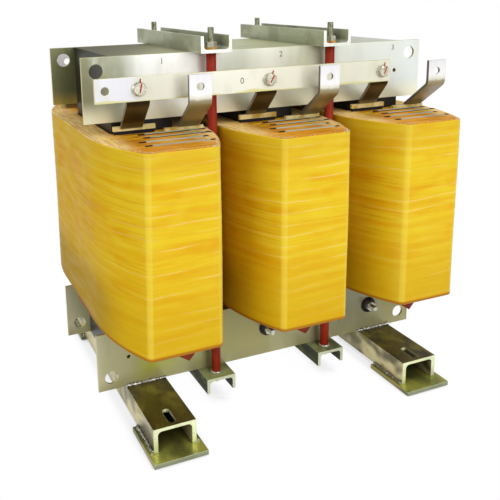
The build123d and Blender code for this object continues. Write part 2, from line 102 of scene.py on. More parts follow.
# ---------------------------------------------------------------- shader helpers
class Shader:
    """A material under construction: a thin wrapper that adds and links nodes."""

    def __init__(self, name: str) -> None:
        """Start a node material.

        Args:
            name: Name of the material.
        """
        self.material = bpy.data.materials.new(name)
        self.material.use_nodes = True
        self.tree = self.material.node_tree
        self.bsdf = self.tree.nodes["Principled BSDF"]
        self._space: Node | None = None

    def add(self, kind: str, inputs: dict | None = None, **settings: object) -> Node:
        """Add a node.

        Args:
            kind: Node type without the ``ShaderNode`` prefix.
            inputs: Socket name or index to a value, or to a socket to link.
            **settings: Attributes of the node.

        Returns:
            The new node.
        """
        node = self.tree.nodes.new("ShaderNode" + kind)
        for key, value in settings.items():
            setattr(node, key, value)
        for key, value in (inputs or {}).items():
            self.put(node.inputs[key], value)
        return node

    def put(self, socket: Socket, value: object) -> None:
        """Link a socket into an input, or set the input's value.

        Args:
            socket: The input.
            value: An output socket, a number or a colour.
        """
        if isinstance(value, Socket):
            self.tree.links.new(value, socket)
        elif isinstance(value, tuple) and len(value) == 3 and socket.type == "RGBA":
            socket.default_value = (*value, 1.0)
        else:
            socket.default_value = value

    def group(self, tree: bpy.types.NodeTree, inputs: dict | None = None) -> Node:
        """Add a node group and fill its inputs.

        Args:
            tree: The group.
            inputs: Input name to a value or a socket.

        Returns:
            The new node.
        """
        node = self.tree.nodes.new("ShaderNodeGroup")
        node.node_tree = tree
        for key, value in (inputs or {}).items():
            self.put(node.inputs[key], value)
        return node

    @property
    def space(self) -> Node:
        """The shared coordinate group: position in mm, its three parts and the normal's."""
        if self._space is None:
            self._space = self.group(Groups.position())
        return self._space

    def noise(
        self, scale_mm: float, stretch: Colour = (1.0, 1.0, 1.0), detail: float = 3.0
    ) -> Socket:
        """Noise in object space.

        Args:
            scale_mm: Size of one blob in mm.
            stretch: How far the blobs are stretched along X, Y and Z.
            detail: Octaves.

        Returns:
            A value between 0 and 1.
        """
        node = self.group(
            Groups.mottle(),
            {
                "Position": self.space.outputs["Position"],
                "Stretch": tuple(1.0 / (scale_mm * s) for s in stretch),
                "Detail": detail,
            },
        )
        return node.outputs["Value"]

    def maths(self, operation: str, a: object, b: object = 0.0) -> Socket:
        """The result of a maths node."""
        return self.add("Math", {0: a, 1: b}, operation=operation).outputs[0]

    def times(self, a: object, b: object) -> Socket:
        """The product of two values."""
        return self.maths("MULTIPLY", a, b)

    def plus(self, a: object, b: object) -> Socket:
        """The sum of two values."""
        return self.maths("ADD", a, b)

    def minus(self, a: object, b: object) -> Socket:
        """The difference of two values."""
        return self.maths("SUBTRACT", a, b)

    def size(self, a: object) -> Socket:
        """A value without its sign."""
        return self.maths("ABSOLUTE", a)

    def ramp(self, value: object, stops: Stops, ease: str = "LINEAR") -> Socket:
        """A colour ramp.

        Args:
            value: The factor.
            stops: Pairs of place and colour.
            ease: Interpolation of the ramp.

        Returns:
            The colour.
        """
        node = self.add("ValToRGB", {0: value})
        node.color_ramp.interpolation = ease
        elements = node.color_ramp.elements
        while len(elements) < len(stops):
            elements.new(0.5)
        for element, (place, colour) in zip(elements, stops):
            element.position = place
            element.color = (*colour, 1.0)
        return node.outputs["Color"]

    def span(
        self,
        value: object,
        low: float,
        high: float,
        to_low: float = 0.0,
        to_high: float = 1.0,
        ease: str = "SMOOTHSTEP",
    ) -> Socket:
        """Map a value's range onto another, clamped.

        Args:
            value: The value.
            low: Lower end of its range.
            high: Upper end of its range.
            to_low: What the lower end becomes.
            to_high: What the upper end becomes.
            ease: Interpolation between them.

        Returns:
            The mapped value.
        """
        node = self.add(
            "MapRange",
            {0: value, 1: low, 2: high, 3: to_low, 4: to_high},
            interpolation_type=ease,
        )
        return node.outputs[0]

    def band(self, value: object, rise: Point, fall: Point, rest: float = 0.0) -> Socket:
        """Mask that rises over one range of a value and falls over a later one, to its rest."""
        return self.times(self.span(value, *rise), self.span(value, *fall, 1.0, rest))

    def edges(self, radius_mm: float) -> Socket:
        """Mask of sharp edges, where handling rubs the surface bright and a painted edge highlight goes.

        Args:
            radius_mm: Width of the band of rubbing and painted highlight.

        Returns:
            A value that is 0 on flat faces and 1 on edges.
        """
        soft = self.add("Bevel", {"Radius": radius_mm * MM}, samples=4)
        hard = self.add("NewGeometry")
        normals = {0: soft.outputs[0], 1: hard.outputs["Normal"]}
        match = self.add("VectorMath", normals, operation="DOT_PRODUCT")
        return self.span(match.outputs["Value"], 0.80, 0.985, 1.0, 0.0)

    def mix(self, factor: object, a: object, b: object) -> Socket:
        """Mix two colours.

        Args:
            factor: Share of the second colour.
            a: First colour.
            b: Second colour.

        Returns:
            The mixed colour.
        """
        node = self.add("Mix", data_type="RGBA")
        self.put(node.inputs[0], factor)
        self.put(node.inputs[6], a)
        self.put(node.inputs[7], b)
        return node.outputs[2]

    def bump(self, height: object, strength: float, distance_mm: float, bevel_mm: float = 0.0) -> None:
        """Drive the surface normal.

        Args:
            height: Height socket, 0 to 1.
            strength: Strength of the bump.
            distance_mm: Depth of the relief.
            bevel_mm: Radius by which sharp edges are softened, if any.
        """
        node = self.add("Bump", {"Height": height, "Strength": strength, "Distance": distance_mm * MM})
        if bevel_mm:
            soft = self.add("Bevel", {"Radius": bevel_mm * MM}, samples=4)
            self.put(node.inputs["Normal"], soft.outputs[0])
        self.put(self.bsdf.inputs["Normal"], node.outputs[0])

    def finish(self, **inputs: object) -> Material:
        """Fill the surface inputs.

        Args:
            **inputs: Input name, with underscores for spaces, to a value or socket.

        Returns:
            The material.
        """
        for key, value in inputs.items():
            self.put(self.bsdf.inputs[key.replace("_", " ")], value)
        return self.material


class Groups:
    """Node groups that several finishes share; each is built once."""

    @staticmethod
    def _start(name: str, inputs: Sockets, outputs: Sockets) -> tuple[bpy.types.NodeTree, Node, Node]:
        """Start a group.

        Args:
            name: Name of the group.
            inputs: Name and kind of each input.
            outputs: Name and kind of each output.

        Returns:
            The tree, its input node and its output node.
        """
        tree = bpy.data.node_groups.new(name, "ShaderNodeTree")
        for way, sockets in (("INPUT", inputs), ("OUTPUT", outputs)):
            for label, kind in sockets.items():
                tree.interface.new_socket(label, in_out=way, socket_type="NodeSocket" + kind)
        return tree, tree.nodes.new("NodeGroupInput"), tree.nodes.new("NodeGroupOutput")

    @staticmethod
    @cache
    def position() -> bpy.types.NodeTree:
        """Object coordinates in millimetres, with the surface normal."""
        parts = dict.fromkeys(("X", "Y", "Z", "Side", "Front", "Up"), "Float")
        tree, _, out = Groups._start("PositionMm", {}, {"Position": "Vector", **parts})
        coords = tree.nodes.new("ShaderNodeTexCoord")
        scale = tree.nodes.new("ShaderNodeVectorMath")
        scale.operation = "SCALE"
        scale.inputs["Scale"].default_value = 1.0 / MM
        tree.links.new(coords.outputs["Object"], scale.inputs[0])
        tree.links.new(scale.outputs[0], out.inputs["Position"])
        for source, names in ((scale.outputs[0], "X Y Z"), (coords.outputs["Normal"], "Side Front Up")):
            split = tree.nodes.new("ShaderNodeSeparateXYZ")
            tree.links.new(source, split.inputs[0])
            for index, name in enumerate(names.split()):
                tree.links.new(split.outputs[index], out.inputs[name])
        return tree

    @staticmethod
    @cache
    def mottle() -> bpy.types.NodeTree:
        """Noise with its own stretch along each axis."""
        inputs = {"Position": "Vector", "Stretch": "Vector", "Detail": "Float"}
        tree, source, out = Groups._start("Mottle", inputs, {"Value": "Float"})
        scale = tree.nodes.new("ShaderNodeVectorMath")
        scale.operation = "MULTIPLY"
        noise = tree.nodes.new("ShaderNodeTexNoise")
        noise.inputs["Scale"].default_value = 1.0
        noise.inputs["Roughness"].default_value = 0.55
        for start, end in (
            (source.outputs["Position"], scale.inputs[0]),
            (source.outputs["Stretch"], scale.inputs[1]),
            (scale.outputs[0], noise.inputs["Vector"]),
            (source.outputs["Detail"], noise.inputs["Detail"]),
            (noise.outputs["Fac"], out.inputs["Value"]),
        ):
            tree.links.new(start, end)
        return tree


# ---------------------------------------------------------------- finishes
@dataclass(frozen=True)
class ZincFinish:
    """Yellow passivated zinc on steel, with painted light: each face is tinted by the way it looks, lighter
    or darker as light and reflection fall on it.

    Attributes:
        name: Name of the material.
        top: Colour of faces that look up or down, painted light and reflection for that facing.
        side: Colour of faces that look along X, painted light and reflection for that facing.
        end: Colour of faces that look along Y, painted light and reflection for that facing.
        deep: Colour of the dark drift.
        gold: Colour of the straw-yellow drift.
        wear_and_edge_highlight: Colour of rubbed edges, with a painted edge highlight.
        metallic: Share of metal in the surface.
        roughness: Mean roughness.
        bevel: Radius of softened edges in mm.
        glare: Strength of the surface's reflection.
        hollow_shade: Colour of the painted shade in hollows and covered corners.
    """

    name: str
    top: Colour
    side: Colour
    end: Colour
    deep: Colour
    gold: Colour
    wear_and_edge_highlight: Colour = (0.72, 0.74, 0.58)
    metallic: float = 0.45
    roughness: float = 0.34
    bevel: float = 1.4
    glare: float = 0.5
    hollow_shade: Colour = (0.020, 0.016, 0.004)

    def build(self) -> Material:
        """Return the material."""
        sh = Shader(self.name)
        place = sh.space.outputs
        ends = sh.span(sh.size(place["Front"]), 0.4, 0.75)
        tops = sh.span(sh.size(place["Up"]), 0.4, 0.75)
        # Painted light: the top, side and end colours by facing stand in for how light and reflection fall
        # on each face.
        colour = sh.mix(tops, sh.mix(ends, self.side, self.end), self.top)
        flat = sh.minus(1.0, sh.times(ends, 0.75))
        drift = sh.span(sh.noise(62.0, (0.8, 1.5, 0.9), 2.0), 0.44, 0.62, 0.0, 0.85)
        colour = sh.mix(sh.times(drift, flat), colour, self.deep)
        straw = sh.span(sh.noise(34.0, (1.0, 1.7, 1.0), 3.0), 0.52, 0.70, 0.0, 0.70)
        colour = sh.mix(sh.times(straw, flat), colour, self.gold)
        grain = sh.noise(3.5, (1.0, 1.6, 1.0), 4.0)
        colour = sh.mix(sh.span(grain, 0.56, 0.74, 0.0, 0.30), colour, self.deep)
        # Edges: rubbed wear together with a painted edge highlight.
        colour = sh.mix(sh.times(sh.edges(self.bevel), 0.85), colour, self.wear_and_edge_highlight)
        # Painted shade: ambient occlusion darkens hollows and covered corners towards this colour.
        cover = sh.add("AmbientOcclusion", {"Distance": 0.06}, samples=6)
        colour = sh.mix(sh.span(cover.outputs["AO"], 0.20, 0.66, 0.94, 0.0), colour, self.hollow_shade)
        rough = sh.span(grain, 0.3, 0.7, self.roughness - 0.08, self.roughness + 0.12)
        sh.bump(grain, 0.10, 0.2, self.bevel * 0.5)
        return sh.finish(
            Base_Color=colour, Metallic=self.metallic, Roughness=rough, Specular_IOR_Level=self.glare
        )


@dataclass(frozen=True)
class PlateFinish:
    """Clamp plate: smooth passivated zinc whose tint along its length and height is painted reflection,
    light and shade.

    Attributes:
        name: Name of the material.
        along: Colour stops from the left end to the right end, painted reflection and shade along the plate.
        low: Height where the vertical shading starts, in mm.
        high: Height where it ends.
        shade: Colour painted at the lower edge, standing in for the light, shade and reflection that the
            parts below give it.
        patch: Colour of the soft drifting patches.
        edge: Colour of the sawn edges.
        rubbed_and_edge_highlight: Colour of the rubbed corners, with a painted edge highlight.
        half: Half length of the plate.
        metallic: Share of metal in the surface.
    """

    name: str
    along: Stops
    low: float
    high: float
    shade: Colour
    patch: Colour
    edge: Colour = (0.58, 0.54, 0.16)
    rubbed_and_edge_highlight: Colour = (0.80, 0.78, 0.42)
    half: float = 357.0
    metallic: float = 0.35

    def build(self) -> Material:
        """Return the material."""
        sh = Shader(self.name)
        place = sh.space.outputs
        wander = sh.times(sh.minus(sh.noise(90.0, (1.0, 1.0, 2.5), 2.0), 0.5), 90.0)
        reach = sh.plus(place["X"], wander)
        # Painted reflection and shade along the plate's length.
        colour = sh.ramp(sh.span(reach, -self.half, self.half, 0.0, 1.0, "LINEAR"), self.along, "EASE")
        rise = sh.plus(place["Z"], sh.times(wander, 0.25))
        # Painted light, shade and reflection of the parts below, towards the lower edge.
        colour = sh.mix(sh.span(rise, self.low, self.high, 0.8, 0.0), colour, self.shade)
        colour = sh.mix(sh.span(sh.noise(46.0, (0.8, 1.0, 2.2)), 0.50, 0.72, 0.0, 0.50), colour, self.patch)
        brushed = sh.noise(5.0, (1.0, 1.0, 22.0), 1.0)
        sawn = sh.span(sh.size(place["Front"]), 0.4, 0.75, 0.9, 0.0)
        colour = sh.mix(sawn, colour, self.edge)
        # Edges: rubbed wear together with a painted edge highlight.
        colour = sh.mix(sh.times(sh.edges(1.2), 0.6), colour, self.rubbed_and_edge_highlight)
        sh.bump(brushed, 0.02, 0.1, 0.6)
        rough = sh.span(brushed, 0.3, 0.7, 0.28, 0.36)
        return sh.finish(Base_Color=colour, Metallic=self.metallic, Roughness=rough)


LAYER_TINTS: Stops = (
    (0.28, (0.20, 0.060, 0.002)),
    (0.42, (0.60, 0.21, 0.003)),
    (0.54, (0.70, 0.30, 0.004)),
    (0.64, (0.78, 0.46, 0.07)),
    (0.76, (0.90, 0.72, 0.44)),
)


@dataclass(frozen=True)
class TapeFinish:
    """Varnished glass tape wound in level turns, with the layered winding on top.

    Attributes:
        name: Name of the material.
        lemon: Colour of the fronts.
        gold: Colour of the broad orange bands.
        amber: Colour of the deeper bands, and of the painted shade on the sides, deepest towards the back.
        line: Colour of the tape's pale edge.
        low: Colour that the lower half leans to.
        gloom: Colour of the sides' lower front, which the frame shades.
        corner: Colour of the painted highlight along the front corners.
        shoulder: Colour of the uppermost turns.
        foot: Colour of the lower rim.
        pale: Colour of the bright spots.
    """

    name: str
    lemon: Colour = (0.72, 0.50, 0.014)
    gold: Colour = (0.68, 0.36, 0.004)
    amber: Colour = (0.50, 0.22, 0.001)
    line: Colour = (0.80, 0.56, 0.20)
    low: Colour = (0.58, 0.35, 0.004)
    gloom: Colour = (0.24, 0.15, 0.006)
    corner: Colour = (0.74, 0.60, 0.075)
    shoulder: Colour = (0.56, 0.39, 0.025)
    foot: Colour = (0.36, 0.13, 0.006)
    pale: Colour = (0.74, 0.56, 0.028)

    def build(self) -> Material:
        """Return the material."""
        sh = Shader(self.name)
        place = sh.space.outputs
        side = sh.span(sh.size(place["Side"]), 0.80, 0.93)
        top = sh.span(place["Up"], 0.6, 0.9)
        colour = self._bands(sh, side)
        # Painted shade: the sides lean to amber, more towards the back.
        depth = sh.span(place["Y"], -300.0, -60.0, 0.30, 1.0)
        colour = sh.mix(sh.times(sh.times(side, depth), 0.34), colour, self.amber)
        sunk = sh.span(place["Z"], 200.0, 370.0, 0.70, 0.0)
        colour = sh.mix(sunk, colour, self.low)
        shade = sh.times(sh.span(place["Y"], -260.0, -150.0), sh.span(place["Z"], 250.0, 330.0, 0.5, 0.0))
        colour = sh.mix(sh.times(shade, side), colour, self.gloom)
        turned = sh.size(place["Side"])
        # Painted highlight along the rounded front corners.
        glow = sh.band(turned, (0.04, 0.30), (0.72, 0.90))
        colour = sh.mix(sh.times(glow, 0.40), colour, self.corner)
        colour = sh.mix(sh.span(place["Z"], 470.0, 540.0, 0.0, 0.35), colour, self.shoulder)
        colour = sh.mix(sh.span(place["Z"], 196.5, 201.0, 0.9, 0.0), colour, self.foot)
        colour = sh.mix(top, colour, self._layers(sh))
        threads = sh.noise(1.6, (40.0, 40.0, 1.0), 2.0)
        swell = sh.times(sh.noise(30.0, (3.0, 3.0, 0.5)), 0.8)
        sh.bump(sh.plus(threads, swell), 0.14, 0.5)
        rough = sh.span(sh.noise(24.0, (3.0, 3.0, 0.6)), 0.35, 0.7, 0.34, 0.52)
        return sh.finish(
            Base_Color=colour,
            Roughness=sh.plus(rough, sh.times(top, 0.2)),
            Specular_IOR_Level=sh.minus(0.12, sh.times(side, 0.10)),
        )

    def _bands(self, sh: Shader, side: Socket) -> Socket:
        """Colour of the wound wall.

        Args:
            sh: The material under construction.
            side: Mask of the coil's side faces.

        Returns:
            The colour.
        """
        place = sh.space.outputs
        sway = sh.times(sh.minus(sh.noise(130.0, (1.0, 1.0, 0.5), 1.0), 0.5), 16.0)
        slope = sh.times(place["X"], -TAPE_SLOPE)
        height = sh.plus(sh.plus(place["Z"], slope), sway)
        turns = sh.maths("DIVIDE", height, TAPE_PITCH)
        turn = sh.maths("FRACT", turns)
        number = {"W": sh.maths("FLOOR", turns)}
        each = sh.add("TexWhiteNoise", number, noise_dimensions="1D").outputs["Value"]
        fade = sh.span(sh.noise(60.0, (2.6, 2.6, 0.4), 3.0), 0.44, 0.62)
        edge = sh.band(turn, (0.0, 0.06), (0.08, 0.20))
        under = sh.band(turn, (0.20, 0.45), (0.6, 1.0), 0.15)
        broad = sh.span(sh.noise(26.0, (5.5, 5.5, 0.7), 3.0), 0.42, 0.66)
        fine = sh.noise(2.6, (70.0, 70.0, 1.0), 2.0)
        dapple = sh.span(sh.noise(75.0, (1.0, 1.0, 1.0), 2.0), 0.42, 0.62)
        colour = sh.mix(sh.times(broad, 0.85), self.lemon, self.gold)
        colour = sh.mix(sh.times(dapple, 0.42), colour, self.pale)
        colour = sh.mix(sh.times(sh.times(under, each), 0.55), colour, self.gold)
        dark = sh.plus(0.16, sh.times(side, 0.30))
        colour = sh.mix(sh.times(sh.span(fine, 0.50, 0.72), dark), colour, self.amber)
        strength = sh.minus(0.62, sh.times(side, 0.34))
        return sh.mix(sh.times(sh.times(edge, fade), strength), colour, self.line)

    def _layers(self, sh: Shader) -> Socket:
        """Colour of the winding's end: thin layers of foil and fabric seen on edge.

        Args:
            sh: The material under construction.

        Returns:
            The colour.
        """
        place = sh.space.outputs
        pitch = Side.RIGHT.value
        reach = sh.minus(sh.maths("MODULO", sh.plus(place["X"], 5.5 * pitch), pitch), pitch / 2)
        beside = sh.span(sh.size(reach), 40.0, 78.0)
        flank = sh.times(beside, sh.span(sh.size(place["Y"]), 225.0, 300.0, 1.0, 0.0))
        level = sh.add("Mix", data_type="FLOAT")
        sh.put(level.inputs[0], flank)
        sh.put(level.inputs[2], sh.noise(2.6, (26.0, 1.0, 1.0), 3.0))
        sh.put(level.inputs[3], sh.noise(2.6, (1.0, 26.0, 1.0), 3.0))
        colour = sh.ramp(level.outputs[0], LAYER_TINTS)
        orange = sh.span(sh.noise(16.0, (3.0, 3.0, 1.0), 2.0), 0.44, 0.64, 0.0, 0.65)
        colour = sh.mix(orange, colour, (0.60, 0.22, 0.004))
        pale = sh.times(flank, sh.span(sh.noise(4.0, (1.0, 14.0, 1.0), 3.0), 0.40, 0.60, 0.45, 1.0))
        return sh.mix(pale, colour, (0.98, 0.72, 0.28))


@dataclass(frozen=True)
class LeadFinish:
    """Copper bar: tinned where it is bolted, bronze-brown where it slopes to the coil.

    Attributes:
        name: Name of the material.
        stops: Height in mm and colour, from the foot upwards.
        streaks: Colour of the drawn streaks.
        rubbed_and_edge_highlight: Colour of rubbed edges, with a painted edge highlight.
        rim: Colour of the narrow sides.
    """

    name: str
    stops: Stops
    streaks: Colour = (0.18, 0.14, 0.07)
    rubbed_and_edge_highlight: Colour = (0.74, 0.70, 0.52)
    rim: Colour = (0.16, 0.14, 0.11)

    def build(self) -> Material:
        """Return the material."""
        sh = Shader(self.name)
        low, high = self.stops[0][0], self.stops[-1][0]
        place = sh.space.outputs
        jitter = sh.times(sh.minus(sh.noise(14.0), 0.5), 6.0)
        factor = sh.span(sh.plus(place["Z"], jitter), low, high, 0.0, 1.0, "LINEAR")
        stops = [((z - low) / (high - low), colour) for z, colour in self.stops]
        colour = sh.ramp(factor, stops, "EASE")
        streak = sh.noise(2.6, (1.0, 12.0, 12.0), 2.0)
        colour = sh.mix(sh.span(streak, 0.45, 0.75, 0.0, 0.10), colour, self.streaks)
        # Edges: rubbed wear together with a painted edge highlight.
        colour = sh.mix(sh.times(sh.edges(0.9), 0.5), colour, self.rubbed_and_edge_highlight)
        rim = sh.span(sh.size(place["Side"]), 0.7, 0.9)
        colour = sh.mix(rim, colour, self.rim)
        sh.bump(streak, 0.08, 0.15, 0.6)
        return sh.finish(Base_Color=colour, Metallic=0.35, Roughness=0.34)


@dataclass(frozen=True)
class PlainFinish:
    """A laminate, rubber, plastic or small metal surface with soft mottling.

    Attributes:
        name: Name of the material.
        colour: Main colour.
        shade: Colour of the darker mottling.
        roughness: Mean roughness.
        grain: Size of the mottling in mm.
        stretch: Stretch of the mottling along each axis.
        metallic: Share of metal.
        bevel: Radius of softened edges in mm.
    """

    name: str
    colour: Colour
    shade: Colour
    roughness: float = 0.5
    grain: float = 12.0
    stretch: Colour = (1.0, 1.0, 1.0)
    metallic: float = 0.0
    bevel: float = 0.5

    def build(self) -> Material:
        """Return the material."""
        sh = Shader(self.name)
        value = sh.noise(self.grain, self.stretch, 4.0)
        fine = sh.noise(self.grain * 0.15, self.stretch, 2.0)
        colour = sh.mix(sh.span(value, 0.38, 0.66), self.colour, self.shade)
        rough = sh.span(fine, 0.3, 0.7, self.roughness - 0.08, self.roughness + 0.1)
        sh.bump(fine, 0.12, 0.2, self.bevel)
        glare = 0.5 if self.metallic else 0.18
        return sh.finish(
            Base_Color=colour, Roughness=rough, Metallic=self.metallic, Specular_IOR_Level=glare
        )


@dataclass(frozen=True)
class CoreFinish:
    """Stacked electrical steel: sheet edges as fine lines on the top and the ends, with painted light on the
    top and painted shade on the ends.

    Attributes:
        name: Name of the material.
        along: Colour stops of the top, from the left end to the right end, with painted light and shade
            along it.
        dark: Colour of the ends and the legs: dark varnish with painted shade.
        black: Colour that the ends fade to downwards.
        gaps: Colour between the sheets.
        half: Half length of the core.
    """

    name: str
    along: Stops = (
        (0.0, (0.10, 0.085, 0.025)),
        (0.12, (0.17, 0.16, 0.065)),
        (0.26, (0.44, 0.44, 0.26)),
        (0.40, (0.52, 0.54, 0.32)),
        (0.50, (0.66, 0.68, 0.44)),
        (0.62, (0.52, 0.54, 0.30)),
        (0.78, (0.50, 0.52, 0.34)),
        (1.0, (0.74, 0.76, 0.66)),
    )
    dark: Colour = (0.030, 0.031, 0.018)
    black: Colour = (0.012, 0.010, 0.009)
    gaps: Colour = (0.05, 0.045, 0.03)
    half: float = 307.0

    def build(self) -> Material:
        """Return the material."""
        sh = Shader(self.name)
        place = sh.space.outputs
        drift = sh.times(place["Y"], -0.55)
        reach = sh.span(sh.plus(place["X"], drift), -self.half, self.half, 0.0, 1.0, "LINEAR")
        # Painted light and shade along the top.
        top_colour = sh.ramp(reach, self.along)
        end_colour = sh.mix(sh.span(place["Z"], 575.0, 690.0, 1.0, 0.0), self.dark, self.black)
        top = sh.span(place["Up"], 0.4, 0.8)
        sheets = sh.noise(1.4, (90.0, 1.0, 90.0), 3.0)
        # Painted light: the top is lit while the ends and legs keep painted shade.
        colour = sh.mix(top, end_colour, top_colour)
        colour = sh.mix(sh.span(sheets, 0.42, 0.7, 0.0, 0.30), colour, self.gaps)
        sh.bump(sheets, 0.25, 0.4, 0.8)
        return sh.finish(Base_Color=colour, Roughness=0.42, Metallic=0.3)


# ---------------------------------------------------------------- mesh helpers
class MeshMaker:
    """Builds one mesh piece and hands it to the frame."""

    def __init__(self, name: str) -> None:
        """Start an empty mesh with the name of its piece."""
        self.name = name
        self.bm = bmesh.new()

    def vert(self, x: float, y: float, z: float) -> Vert:
        """Add a vertex given in mm."""
        return self.bm.verts.new((x * MM, y * MM, z * MM))

    def ring(self, points: Iterable[Point], z: float) -> list[Vert]:
        """Add a level ring of vertices."""
        return [self.vert(x, y, z) for x, y in points]

    def box(self, low: Sequence[float], high: Sequence[float]) -> None:
        """Add a box given by two corners in mm."""
        a, b = Vector(low) * MM, Vector(high) * MM
        place = Matrix.Translation((a + b) / 2) @ Matrix.Diagonal((*(b - a), 1.0))
        bmesh.ops.create_cube(self.bm, size=1.0, matrix=place)

    def prism(self, outline: Iterable[Sequence[float]], move: Sequence[float]) -> None:
        """Add a prism.

        Args:
            outline: Corners of one end in mm.
            move: From that end to the other, in mm.
        """
        face = self.bm.faces.new([self.vert(*corner) for corner in outline])
        grown = bmesh.ops.extrude_face_region(self.bm, geom=[face])
        verts = [item for item in grown["geom"] if isinstance(item, Vert)]
        bmesh.ops.translate(self.bm, verts=verts, vec=Vector(move) * MM)

    def skin(self, rings: Sequence[Ring], smooth: bool = True) -> None:
        """Join rings of equal length into a closed wall.

        Args:
            rings: Rings from one end to the other.
            smooth: Whether the faces are smooth shaded.
        """
        for low, high in zip(rings, rings[1:]):
            count = len(low)
            for i in range(count):
                j = (i + 1) % count
                self.bm.faces.new((low[i], low[j], high[j], high[i])).smooth = smooth

    def fill(self, *rings: Ring) -> None:
        """Fill the flat area between one outer ring and any inner ones."""
        edges = []
        for ring in rings:
            for a, b in zip(ring, [*ring[1:], ring[0]]):
                edges.append(self.bm.edges.get((a, b)) or self.bm.edges.new((a, b)))
        bmesh.ops.triangle_fill(self.bm, use_beauty=True, use_dissolve=False, edges=edges)

    def strip(self, rows: Sequence[Ring], smooth: bool = False) -> None:
        """Join rows of two vertices into a ribbon."""
        for one, two in zip(rows, rows[1:]):
            self.bm.faces.new((one[0], one[1], two[1], two[0])).smooth = smooth

    def drill(self, walls: Sequence[Ring], depths: Point, centre: Point) -> None:
        """Close two facing walls round a hole that runs along Y.

        Args:
            walls: Rings of the front and the back wall.
            depths: Y of the front and the back wall.
            centre: X and Z of the hole's middle.
        """
        hole = circle(TERMINAL_HOLE / 2, 32)
        rims = [[self.vert(centre[0] + u, y, centre[1] + v) for u, v in hole] for y in depths]
        for wall, rim in zip(walls, rims):
            self.fill(wall, rim)
        self.skin(rims)

    def lathe(self, centre: Vector, axis: str, profile: Sequence[Point], steps: int = 40) -> None:
        """Turn a profile round an axis.

        Args:
            centre: Point on the axis in mm; profile heights are measured from it.
            axis: "Y" or "Z".
            profile: Pairs of radius and height.
            steps: Segments round the axis.
        """
        older = set(self.bm.faces)
        line = [self.vert(*(centre + across(axis, radius, 0.0, height))) for radius, height in profile]
        edges = [self.bm.edges.new(pair) for pair in zip(line, line[1:])]
        bmesh.ops.spin(
            self.bm,
            geom=[*line, *edges],
            cent=centre * MM,
            axis=across(axis, 0.0, 0.0, 1.0),
            angle=math.tau,
            steps=steps,
            use_merge=True,
        )
        for face in self.bm.faces:
            if face not in older:
                face.smooth = True

    def hexagon(
        self,
        centre: Vector,
        axis: str,
        low: float,
        high: float,
        bore: float = BOLT_RADIUS,
        turn: float = 0.0,
    ) -> None:
        """Add a hexagonal nut or head with turned corners.

        Args:
            centre: Point on the axis in mm.
            axis: "Y" or "Z".
            low: Lower end along the axis.
            high: Upper end along the axis.
            bore: Radius at which the end faces stop.
            turn: Rotation in degrees.
        """
        steps, half = 48, NUT_FLATS / 2
        turned = half * 0.98
        sixth = math.tau / 6
        corners = [half / math.cos(math.tau * k / steps % sixth - sixth / 2) for k in range(steps)]
        bores = [bore] * steps
        flat = [min(corner, turned) for corner in corners]
        slope = [math.copysign(max(0.0, corner - turned) * 0.6, high - low) for corner in corners]
        level = [0.0] * steps
        outline = (
            (bores, low, level, 1.0),
            (flat, low, level, 1.0),
            (corners, low, slope, 1.0),
            (corners, high, slope, -1.0),
            (flat, high, level, 1.0),
            (bores, high, level, 1.0),
        )
        rings = []
        for radii, height, rise, sign in outline:
            ring = []
            for k, radius in enumerate(radii):
                a = math.tau * k / steps + math.radians(turn)
                point = across(axis, radius * math.cos(a), radius * math.sin(a), height + sign * rise[k])
                ring.append(self.vert(*(centre + point)))
            rings.append(ring)
        self.skin(rings, smooth=False)

    def thread(self, centre: Vector, axis: str, low: float, high: float, pitch: float = 1.75) -> None:
        """Add a threaded stud with a helical ridge and chamfered ends.

        Args:
            centre: Point on the axis in mm.
            axis: "Y" or "Z".
            low: Lower end along the axis.
            high: Upper end along the axis.
            pitch: Pitch of the thread.
        """
        steps, depth = 24, pitch * 0.5
        count = int((high - low) / pitch * 6)
        rings = []
        for i in range(count + 1):
            height = low + (high - low) * i / count
            taper = min(1.0, (min(height - low, high - height) + 0.4) / 1.4)
            ring = []
            for k in range(steps):
                a = math.tau * k / steps
                phase = (height / pitch - k / steps) % 1.0
                r = (BOLT_RADIUS - depth * abs(2.0 * phase - 1.0)) * (0.82 + 0.18 * taper)
                ring.append(self.vert(*(centre + across(axis, r * math.cos(a), r * math.sin(a), height))))
            rings.append(ring)
        self.skin(rings)
        self.fill(rings[0])
        self.fill(rings[-1])

    def done(self, material: Material, *nodes: str, slot: str) -> None:
        """Write the mesh and place it on the body.

        Args:
            material: Finish of the piece.
            *nodes: Solids that this piece stands in for.
            slot: Not used.
        """
        bmesh.ops.recalc_face_normals(self.bm, faces=self.bm.faces)
        mesh = bpy.data.meshes.new(self.name)
        self.bm.to_mesh(mesh)
        self.bm.free()
        mesh.materials.append(material)
        piece = bpy.data.objects.new(self.name, mesh)
        bpy.context.scene.collection.objects.link(piece)
        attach(piece, BODY)
        if nodes:
            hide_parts(*nodes)
        LOG.info("%s: %d faces", self.name, len(mesh.polygons))


def across(axis: str, u: float, v: float, height: float) -> Vector:
    """A point given by two reaches across an axis, "Y" or "Z", and its height along it."""
    return Vector((u, height, v) if axis == "Y" else (u, v, height))


def circle(radius: float, steps: int) -> list[Point]:
    """Points of a circle round the origin."""
    turns = [math.tau * k / steps for k in range(steps)]
    return [(radius * math.cos(a), radius * math.sin(a)) for a in turns]


def both(distances: Sequence[float]) -> list[float]:
    """Each distance to both sides of the middle."""
    return [sign * distance for distance in distances for sign in (-1, 1)]


def washer_wall(low: float, high: float, radius: float, taper: float) -> list[Point]:
    """Profile of a washer: from its bore out, along its rim and back to the bore."""
    return [(BOLT_BORE, low), (radius, low), (radius - taper, high), (BOLT_BORE, high)]


